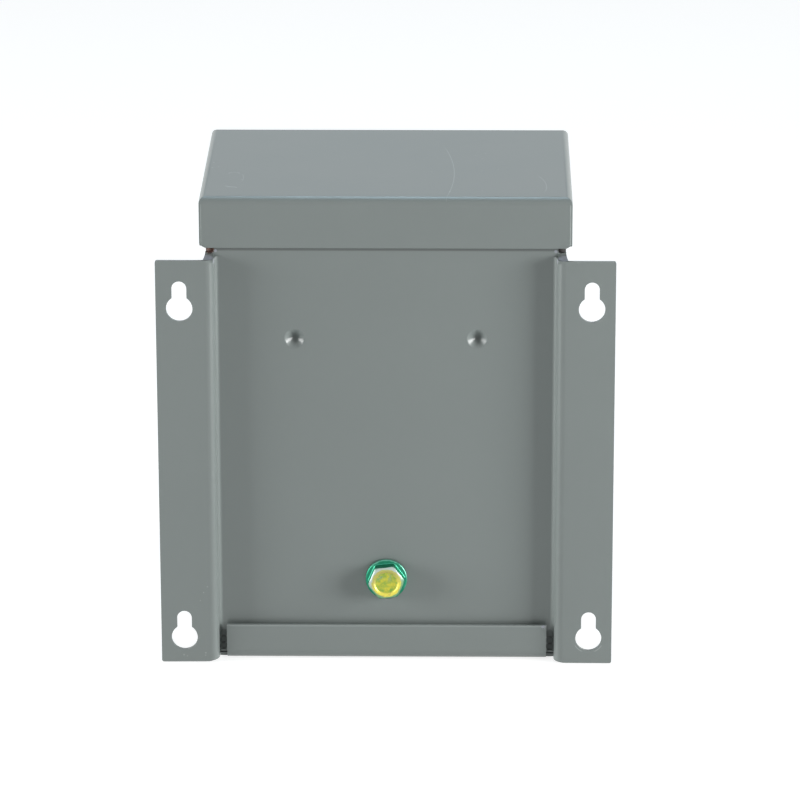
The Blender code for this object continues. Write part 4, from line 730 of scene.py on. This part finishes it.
# %% Make the small tools
def link(name, data):
    item = bpy.data.objects.new(name, data)
    bpy.context.scene.collection.objects.link(item)
    return item


def settle(item, material, slot, *nodes):
    """Gives a finished piece its material and its body, and hides the nodes it stands for; the slot is not
    used.
    """
    wear(item, material)
    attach(item, "root")
    if nodes:
        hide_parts(*nodes)


def new_item(name, shape):
    """Object from a bmesh, shaded smooth."""
    mesh = bpy.data.meshes.new(name)
    for face in shape.faces:
        face.smooth = True
    shape.to_mesh(mesh)
    shape.free()
    return link(name, mesh)


def soften(item, width):
    """Small rounded edges with flat faces kept flat in the shading."""
    bevel = item.modifiers.new("edge", 'BEVEL')
    bevel.width = width
    bevel.segments = 2
    bevel.limit_method = 'ANGLE'
    bevel.angle_limit = math.radians(32)
    bevel.miter_outer = 'MITER_ARC'
    item.modifiers.new("level", 'WEIGHTED_NORMAL').weight = 80


# %% [markdown]
# ## Sheet metal with real edges
#
# Sheared and painted sheet has a burr side and a rolled side, and the enamel rounds both over by
# about a fifth of a millimetre.  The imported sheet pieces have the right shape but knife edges.
# Each is copied, its doubled points are joined and its split flat faces merged, and then a narrow
# bevel rounds it.  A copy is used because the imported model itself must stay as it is.

# %% Copy sheet pieces with clean faces
EDGE_ROUND, BASE_EDGE_ROUND = 0.22 * MM, 0.42 * MM
JOIN_WITHIN = 0.004 * MM
FLAT_WITHIN = math.radians(0.6)


def dress(node, material, width=EDGE_ROUND, change=None):
    """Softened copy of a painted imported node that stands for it."""
    shape = bmesh.new()
    shape.from_mesh(frame["nodes"][node].data)
    bmesh.ops.remove_doubles(shape, verts=shape.verts, dist=JOIN_WITHIN)
    bmesh.ops.dissolve_limit(shape, angle_limit=FLAT_WITHIN, use_dissolve_boundaries=False,
                             verts=shape.verts, edges=shape.edges)
    if change:
        change(shape)
    item = new_item(f"folded_{node}", shape)
    soften(item, width)
    settle(item, material, "grey_paint", node)
    print(item.name, "has", len(item.data.polygons), "faces before its edges are rounded")


dress("case_wrap", CASE_PAINT)
dress("hood", HOOD_PAINT)
dress("bottom_plate", BASE_PAINT, BASE_EDGE_ROUND)
dress("wiring_cover", PAINT)

# %% [markdown]
# ## The two punched dimples
#
# A pointed punch leaves a shallow cone with a soft rim in the channel's panel.  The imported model
# has it in a few flat facets, and its soft shading needs a smooth wall.  The facets are cut out of
# the plate and new rings are lofted in, whose slope eases in at the rim and out at the tip.  The
# same copy gets the small lift of each flange's lower edge beside the channel.

# %% Loft smooth dimples into the plate
DIMPLE_X, DIMPLE_Z = 34.9 * MM, 130.5 * MM
DIMPLE_RIM = 4.18 * MM
DIMPLE_SLOPE = math.tan(math.radians(38))
DIMPLE_RINGS = 26
RIM_EASE, TIP_EASE = 0.16, 0.12
RIM_CATCH = 1.03
CHANNEL_X, FOOT_BEND_X = 65.1 * MM, 69.0 * MM
FOOT_LIFT_LEFT, FOOT_LIFT_RIGHT = 0.7 * MM, 0.35 * MM


def dimple_depths():
    """Depth below the panel at each ring, from the rim to the tip."""
    depths = [0.0]
    for ring in range(DIMPLE_RINGS):
        share = 1.0 - (ring + 0.5) / DIMPLE_RINGS
        eased = min(1.0, share / TIP_EASE) * min(1.0, (1.0 - share) / RIM_EASE)
        depths.append(depths[-1] + DIMPLE_RIM / DIMPLE_RINGS * DIMPLE_SLOPE * eased)
    return depths


def smooth_dimple(shape, x):
    centre = Vector((x, PANEL_Y, DIMPLE_Z))

    def reach(vert):
        return math.hypot(vert.co.x - centre.x, vert.co.z - centre.z)

    def caught(part):
        return all(reach(vert) < DIMPLE_RIM * RIM_CATCH for vert in part.verts)

    def drawn_in(vert, share):
        """The point at a share of the way from the centre out to a point."""
        return (centre.x + (vert.co.x - centre.x) * share, centre.z + (vert.co.z - centre.z) * share)

    inside = [face for face in shape.faces if face.normal.y > 0.05 and caught(face)]
    bmesh.ops.delete(shape, geom=inside, context='FACES')
    rim = [edge for edge in shape.edges if edge.is_boundary and caught(edge)]
    for halving in range(2):
        halves = []
        for edge in rim:
            other, vert = bmesh.utils.edge_split(edge, edge.verts[0], 0.5)
            vert.co.x, vert.co.z = drawn_in(vert, DIMPLE_RIM / reach(vert))
            halves += [edge, other]
        rim = halves
    loop = sorted({vert for edge in rim for vert in edge.verts},
                  key=lambda vert: math.atan2(vert.co.z - centre.z, vert.co.x - centre.x))
    depths = dimple_depths()
    last = loop
    for ring in range(1, DIMPLE_RINGS):
        fresh = []
        for vert in loop:
            at_x, at_z = drawn_in(vert, 1.0 - ring / DIMPLE_RINGS)
            fresh.append(shape.verts.new((at_x, PANEL_Y - depths[ring], at_z)))
        for index in range(len(loop)):
            following = (index + 1) % len(loop)
            shape.faces.new((last[index], fresh[index], fresh[following], last[following]))
        last = fresh
    tip = shape.verts.new((centre.x, PANEL_Y - depths[-1], centre.z))
    for index in range(len(loop)):
        shape.faces.new((last[index], tip, last[(index + 1) % len(loop)]))
    print("dimple depth in mm:", round(depths[-1] / MM, 2), "cut", len(inside), "facets")


def lift_flange_feet(shape):
    """Each flange's lower edge rises a little where the sheet turns in to the channel."""
    for vert in shape.verts:
        if abs(vert.co.z) < 0.01 * MM:
            share = max(0.0, min(1.0, (FOOT_BEND_X - abs(vert.co.x)) / (FOOT_BEND_X - CHANNEL_X)))
            vert.co.z += (FOOT_LIFT_LEFT if vert.co.x > 0 else FOOT_LIFT_RIGHT) * math.sqrt(share)


def finish_plate(shape):
    for x in (-DIMPLE_X, DIMPLE_X):
        smooth_dimple(shape, x)
    lift_flange_feet(shape)
    bmesh.ops.recalc_face_normals(shape, faces=shape.faces)


dress("back_plate", PLATE_PAINT, change=finish_plate)

# %% [markdown]
# ## Round parts from rings
#
# Bolt heads, threads and knockout discs are all stacks of rings.  Each ring has a radius and a
# height, and either may depend on the angle, which turns a round ring into a hexagon or a thread.
# Lofting between rings gives even quads that shade cleanly.

# %% Loft rings into a closed body
HEX_EASE_FROM, HEX_EASE_OVER = 0.42, 0.104
RINGS_PER_TURN = 8


def hexagon(flats, corner):
    """Radius of a hexagon at an angle, with its corners a little rounded."""
    def radius(angle):
        apart = abs(math.remainder(angle, math.pi / 3))
        return flats / 2 / math.cos(apart) - corner * max(0.0, (apart - HEX_EASE_FROM) / HEX_EASE_OVER)
    return radius


def offset(measure, extra):
    """The same measure at every angle with a length added."""
    return lambda angle: measure(angle) + extra


def loft_rings(rings, steps):
    """Closed bmesh body of (radius, height) rings along +Z from below to above."""
    shape = bmesh.new()
    loops = []
    for ring in rings:
        loop = []
        for step in range(steps):
            angle = 2 * math.pi * step / steps
            radius, level = (measure(angle) if callable(measure) else measure for measure in ring)
            loop.append(shape.verts.new((radius * math.cos(angle), radius * math.sin(angle), level)))
        loops.append(loop)
    for below, above in zip(loops, loops[1:]):
        for step in range(steps):
            following = (step + 1) % steps
            shape.faces.new((below[step], below[following], above[following], above[step]))
    shape.faces.new(list(reversed(loops[0])))
    shape.faces.new(loops[-1])
    return shape


def shank(radius, depth, pitch, core_share, foot, run_out, lift):
    """Rings of a threaded shank from its foot to its seat at height 0, with plain ends."""
    rings = [(radius * core_share, foot)]
    count = round((run_out - foot) / pitch * RINGS_PER_TURN)
    for index in range(count + 1):
        level = foot + (run_out - foot) * index / count
        fade = min(1.0, index / RINGS_PER_TURN, (count - index) / RINGS_PER_TURN)

        def reach(angle, level=level, fade=fade):
            phase = (level / pitch - angle / (2 * math.pi)) % 1.0
            return radius - depth * fade * abs(2 * phase - 1)
        rings.append((reach, level + lift))
    return rings + [(radius, 0.0)]


def stand(item, seat, out, turn):
    """Moves mesh points so that local +Z points along a direction from a seat; the origin stays."""
    swing = Vector(out).to_track_quat('Z', 'Y').to_matrix().to_4x4()
    item.data.transform(Matrix.Translation(Vector(seat)) @ swing @ Matrix.Rotation(turn, 4, 'Z'))
    item.data.update()


# %% [markdown]
# ## The green ground bolt
#
# The bolt is a hex head forged in one piece with its washer face.  A turned chamfer takes the six
# corners down, the flat top is dished, and the shank has a rolled thread.  Its chamfer is a cone,
# so it meets each flat in a curve, which the height of the ring follows from the radius.

# %% Make the ground bolt
CHAMFER_RADIUS = 5.5 * MM
CHAMFER_SLOPE = math.tan(math.radians(27))
DISH_RADIUS, DISH_DEPTH = 4.9 * MM, 0.9 * MM
BOLT_TURN = math.radians(-23)
BOLT_SEAT_Y = bolt_high.y - WASHER_HEIGHT - HEX_HEIGHT
BOLT_THREAD = (3.9 * MM, 0.55 * MM, 1.41 * MM)


def ground_bolt(name):
    outline = hexagon(HEX_FLATS, 0.12 * MM)
    top = WASHER_HEIGHT + HEX_HEIGHT

    def chamfer(angle):
        return top - max(0.0, outline(angle) - CHAMFER_RADIUS) * CHAMFER_SLOPE

    rings = shank(*BOLT_THREAD, 0.72, bolt_low.y - BOLT_SEAT_Y, -0.7 * MM, 0.5 * MM)
    rings += [(WASHER_RADIUS - inset_mm * MM, level) for inset_mm, level in (
        (0.25, 0.0), (0.06, 0.12 * MM), (0.0, WASHER_HEIGHT * 0.45), (0.07, WASHER_HEIGHT * 0.80),
        (0.32, WASHER_HEIGHT))]
    rings += [(offset(outline, out_mm * MM), WASHER_HEIGHT + up_mm * MM)
              for out_mm, up_mm in ((0.50, 0.0), (0.23, 0.07), (0.07, 0.23), (0.0, 0.50))]
    rings += [(offset(outline, -in_mm * MM), offset(chamfer, up_mm * MM))
              for in_mm, up_mm in ((0.0, -0.18), (0.04, -0.03), (0.20, 0.06))]
    rings += [(CHAMFER_RADIUS + 0.15 * MM, top - 0.07 * MM), (CHAMFER_RADIUS - 0.10 * MM, top - 0.015 * MM),
              (CHAMFER_RADIUS - 0.30 * MM, top), (DISH_RADIUS + 0.15 * MM, top)]
    rings += [(DISH_RADIUS * share, top - DISH_DEPTH * (1 - share ** 5) ** 0.8)
              for share in (1.0, 0.94, 0.86, 0.76, 0.62, 0.46, 0.30, 0.15, 0.05)]
    item = new_item(name, loft_rings(rings, 120))
    stand(item, (BOLT_AXIS.x, BOLT_SEAT_Y, BOLT_AXIS.z), (0, 1, 0), BOLT_TURN)
    settle(item, GREEN_ZINC, "green_dyed_zinc", "ground_bolt")


ground_bolt("green_ground_bolt")
print("bolt washer sits at y =", round(BOLT_SEAT_Y, 5))

# %% [markdown]
# ## The cover and hood screws
#
# Both covers are held by slotted hex washer-head screws.  The slot is cut with a thin bar, because
# a slot crosses the hexagon and can't be made from rings.  The screws differ only in their turn, and
# each is made from the box of the node it stands for.

# %% Make the slotted screws
SCREW_WASHER, SCREW_WASHER_HEIGHT = 4.2 * MM, 0.7 * MM
SCREW_FLATS, SCREW_HEX_HEIGHT = 6.35 * MM, 1.9 * MM
SCREW_THREAD = (2.0 * MM, 0.32 * MM, 1.06 * MM)
SLOT_WIDTH, SLOT_DEPTH = 1.1 * MM, 1.0 * MM
FIRST_TURN, TURN_STEP = 0.4, 1.1


def cut_with(item, cutter):
    """Cuts one object with another and removes the cutter."""
    cut = item.modifiers.new("cut", 'BOOLEAN')
    cut.object = cutter
    item.data = bpy.data.meshes.new_from_object(
        item.evaluated_get(bpy.context.evaluated_depsgraph_get()))
    item.modifiers.clear()
    bpy.data.objects.remove(cutter)


def slotted_screw(node, turn):
    low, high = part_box(node)
    outline = hexagon(SCREW_FLATS, 0.06 * MM)
    top = SCREW_WASHER_HEIGHT + SCREW_HEX_HEIGHT
    seat_y = low.y + top
    rings = shank(*SCREW_THREAD, 0.7, seat_y - high.y, -0.4 * MM, 0.3 * MM)
    rings += [(SCREW_WASHER - 0.12 * MM, 0.0), (SCREW_WASHER, SCREW_WASHER_HEIGHT * 0.35),
              (SCREW_WASHER - 0.20 * MM, SCREW_WASHER_HEIGHT * 0.95),
              (offset(outline, 0.12 * MM), SCREW_WASHER_HEIGHT), (outline, SCREW_WASHER_HEIGHT + 0.12 * MM),
              (outline, lambda angle: top - 0.10 * MM - 0.5 * max(0.0, outline(angle) - SCREW_FLATS / 2)),
              (SCREW_FLATS / 2 - 0.12 * MM, top - 0.02 * MM), (SCREW_FLATS / 2 - 0.35 * MM, top),
              (SCREW_FLATS * 0.3, top - 0.10 * MM), (0.3 * MM, top - 0.16 * MM)]
    item = new_item(f"slotted_{node}", loft_rings(rings, 48))
    bar = bmesh.new()
    bmesh.ops.create_cube(bar, size=1.0, matrix=Matrix.Translation((0, 0, top))
                          @ Matrix.Diagonal((SCREW_WASHER * 3, SLOT_WIDTH, SLOT_DEPTH * 2, 1.0)))
    cut_with(item, new_item("slot_cutter", bar))
    centre = (low + high) / 2
    stand(item, (centre.x, seat_y, centre.z), (0, -1, 0), turn)
    settle(item, ZINC, "zinc_plate", node)


for number, node in enumerate(sorted(n for n in frame["nodes"] if "cover_screw" in n or "hood_screw" in n)):
    slotted_screw(node, FIRST_TURN + TURN_STEP * number)
    print("screw", node)

# %% [markdown]
# ## Knockouts
#
# A half-inch knockout is pressed almost through and pushed back, so it sits flush in its hole and
# holds by two small tabs.  The disc gets a rounded rim, a shallow pressed ring and its two tabs, and
# it wears the same enamel as the case round it.

# %% Make the knockout discs
TAB_WIDTH, TAB_REACH = 2.2 * MM, 0.45 * MM
GROOVE_DEPTH = 0.10 * MM


def knockout(node):
    low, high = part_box(node)
    size, seat = high - low, (low + high) / 2
    thin = min(range(3), key=lambda axis: size[axis])
    out = Vector((0, 0, 0))
    out[thin] = math.copysign(1.0, seat[thin]) if thin == 0 else -1.0
    radius, thick = max(size) / 2, size[thin]

    def rim(angle):
        side = abs(math.remainder(angle, math.pi)) * radius
        return radius + (TAB_REACH if side < TAB_WIDTH / 2 else 0.0)

    rings = [(radius - 0.25 * MM, 0.0), (radius - 0.05 * MM, 0.06 * MM),
             (rim, 0.22 * MM), (rim, thick - 0.22 * MM), (radius - 0.05 * MM, thick - 0.06 * MM),
             (radius - 0.25 * MM, thick), (radius * 0.80, thick), (radius * 0.77, thick - GROOVE_DEPTH),
             (radius * 0.73, thick - GROOVE_DEPTH), (radius * 0.70, thick), (radius * 0.2, thick)]
    item = new_item(f"pressed_{node}", loft_rings(rings, 180))
    seat[thin] -= out[thin] * thick / 2
    stand(item, seat, out, math.pi / 2 if thin == 0 else 0.0)
    settle(item, PAINT, "grey_paint", node)


for node in sorted(n for n in frame["nodes"] if "knockout" in n):
    knockout(node)
    print("knockout", node)

# %% [markdown]
# ## The rating plate
#
# A thin aluminium blank carries the ratings on the real case.  It stays blank here.  Stamped foil
# has rounded corners and a rolled edge, so a rounded outline is filled and given its thickness.

# %% Make the blank plate
PLATE_CORNER, CORNER_STEPS = 2.5 * MM, 8
PLATE_EDGE_ROUND = 0.12 * MM


def rating_blank(name):
    low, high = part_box("rating_plate")
    shape = bmesh.new()
    outline = []
    for sign_x, sign_z, start in ((1, 1, 0), (-1, 1, 90), (-1, -1, 180), (1, -1, 270)):
        centre_x = (high.x if sign_x > 0 else low.x) - sign_x * PLATE_CORNER
        centre_z = (high.z if sign_z > 0 else low.z) - sign_z * PLATE_CORNER
        for step in range(CORNER_STEPS + 1):
            angle = math.radians(start + 90 * step / CORNER_STEPS)
            outline.append(shape.verts.new((centre_x + PLATE_CORNER * math.cos(angle), high.y,
                                            centre_z + PLATE_CORNER * math.sin(angle))))
    raised = bmesh.ops.extrude_face_region(shape, geom=[shape.faces.new(outline)])
    bmesh.ops.translate(shape, vec=(0, low.y - high.y, 0),
                        verts=[part for part in raised["geom"] if isinstance(part, bmesh.types.BMVert)])
    bmesh.ops.recalc_face_normals(shape, faces=shape.faces)
    item = new_item(name, shape)
    soften(item, PLATE_EDGE_ROUND)
    settle(item, ALUMINIUM, "blank_aluminium", "rating_plate")
    print(name, "has", len(item.data.vertices), "points")


rating_blank("blank_rating_plate")

# %% [markdown]
# ## A bead of paint
#
# Wet enamel gathers along the bottom plate's rear lip before baking, and near one end it left a small
# hooked bead.  A short curve with a round section is enough for that, tapered at both ends.

# %% Lay the paint bead
BEAD_RADIUS, BEAD_TAPER = 0.22 * MM, 0.45
BEAD_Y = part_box("bottom_plate")[1].y - 0.05 * MM
BEAD_Z = BASE_LIP_TOP_Z - 0.45 * MM


def paint_bead(name, places):
    curve = bpy.data.curves.new(name, 'CURVE')
    curve.dimensions = '3D'
    curve.bevel_depth = BEAD_RADIUS
    curve.bevel_resolution = 3
    curve.use_fill_caps = True
    points = curve.splines.new('BEZIER').bezier_points
    points.add(len(places) - 1)
    for point, (x_mm, drop_mm) in zip(points, places):
        point.co = (x_mm * MM, BEAD_Y, BEAD_Z - drop_mm * MM)
        point.handle_left_type = point.handle_right_type = 'AUTO'
    points[0].radius = points[-1].radius = BEAD_TAPER
    settle(link(name, curve), PAINT, "grey_paint")


paint_bead("paint_bead", [(-59.6, 0.1), (-60.4, 0.65), (-61.1, 0.75), (-61.6, -0.05)])
print("bead on the lip at z =", round(BEAD_Z, 4))

# %% [markdown]
# ## Floor and backdrop
#
# A studio piece stands on a plain white sweep.  The floor is a pale plane that keeps the case's soft
# shadow.  It glows a little, in place of the light that a lit floor would bounce, and glows more for
# the rays that see it straight on, in metal or through glass, so that it reads white.  The world
# does the same, so metal and glass show the white too.  From below, the floor lets the view through.

# %% Make the floor and the world
FLOOR_GLOW, FLOOR_GLOW_SEEN = 0.34, 0.78
WORLD_SOFT = 0.06
FLOOR_DROP = 0.0003
WHITE = (1.0, 1.0, 1.0)


def seen_rays(bench):
    """One for rays that show the background itself: camera, glossy and transmission rays."""
    path = bench.add('LightPath').outputs
    seen = bench.maths('MAXIMUM', path["Is Camera Ray"], path["Is Glossy Ray"])
    return bench.maths('MAXIMUM', seen, path["Is Transmission Ray"])


def pale_floor():
    shape = bmesh.new()
    bmesh.ops.create_grid(shape, x_segments=8, y_segments=8, size=6.0)
    item = new_item("studio_floor", shape)
    item.location.z = -FLOOR_DROP
    coat = Coat("pale_floor", roughness=0.9)
    coat.shader["Specular IOR Level"].default_value = 0.1
    coat.feed(coat.shader["Base Color"], coat.tone((0.42, 0.42, 0.42), 900.0, 0.01)["Colour"])
    coat.feed(coat.shader["Emission Color"], WHITE)
    coat.feed(coat.shader["Emission Strength"],
              coat.grow(seen_rays(coat), FLOOR_GLOW_SEEN - FLOOR_GLOW, FLOOR_GLOW))
    nodes = coat.tree.nodes
    pick = coat.add('MixShader', {0: coat.add('NewGeometry').outputs["Backfacing"],
                                  1: nodes["Principled BSDF"].outputs["BSDF"],
                                  2: coat.add('BsdfTransparent').outputs["BSDF"]})
    coat.feed(nodes["Material Output"].inputs["Surface"], pick.outputs["Shader"])
    wear(item, coat.material)


pale_floor()
world = bpy.data.worlds.new("soft_studio")
bpy.context.scene.world = world
world.use_nodes = True
bench = Bench(world.node_tree)
sky = world.node_tree.nodes["Background"].inputs
bench.feed(sky["Color"], WHITE)
bench.feed(sky["Strength"], bench.maths('MAXIMUM', seen_rays(bench), WORLD_SOFT))
print("world gives", WORLD_SOFT, "of soft light")

# %% [markdown]
# ## Studio lights
#
# Two softboxes stand well out to the left and right, nearly level with the case, so that their light
# rakes the panel and the dimples.  A tall narrow one hangs over the cover side and draws the light
# line along the hood's rear bend.  Two weak fills light the cover side for the other views.

# %% Hang the lights
AIM = Vector((-0.005, 0.02, 0.095))


def softbox(name, azimuth, elevation, distance, width, height, power, tint=WHITE):
    """Area light aimed at the case; azimuth 0 stands on the wall side, +Y."""
    light = bpy.data.lights.new(name, 'AREA')
    light.shape = 'RECTANGLE'
    light.size = width
    light.size_y = height
    light.energy = power
    light.color = tint
    item = link(name, light)
    around, above = math.radians(azimuth), math.radians(elevation)
    out = Vector((math.sin(around) * math.cos(above), math.cos(around) * math.cos(above), math.sin(above)))
    item.location = AIM + out * distance
    item.rotation_mode = 'QUATERNION'
    item.rotation_quaternion = out.to_track_quat('Z', 'Y')


softbox("left_softbox", 77, 9, 1.25, 0.40, 0.60, 14.9)
softbox("right_softbox", -70, 9, 1.25, 0.42, 0.60, 17.8)
softbox("top_softbox", 180, 70, 1.20, 0.16, 1.30, 5.5, (0.60, 0.85, 1.0))
softbox("front_left_fill", 125, 20, 1.60, 0.70, 0.70, 1.8)
softbox("front_right_fill", -125, 20, 1.60, 0.70, 0.70, 1.8)

bpy.context.scene.view_settings.view_transform = 'Standard'
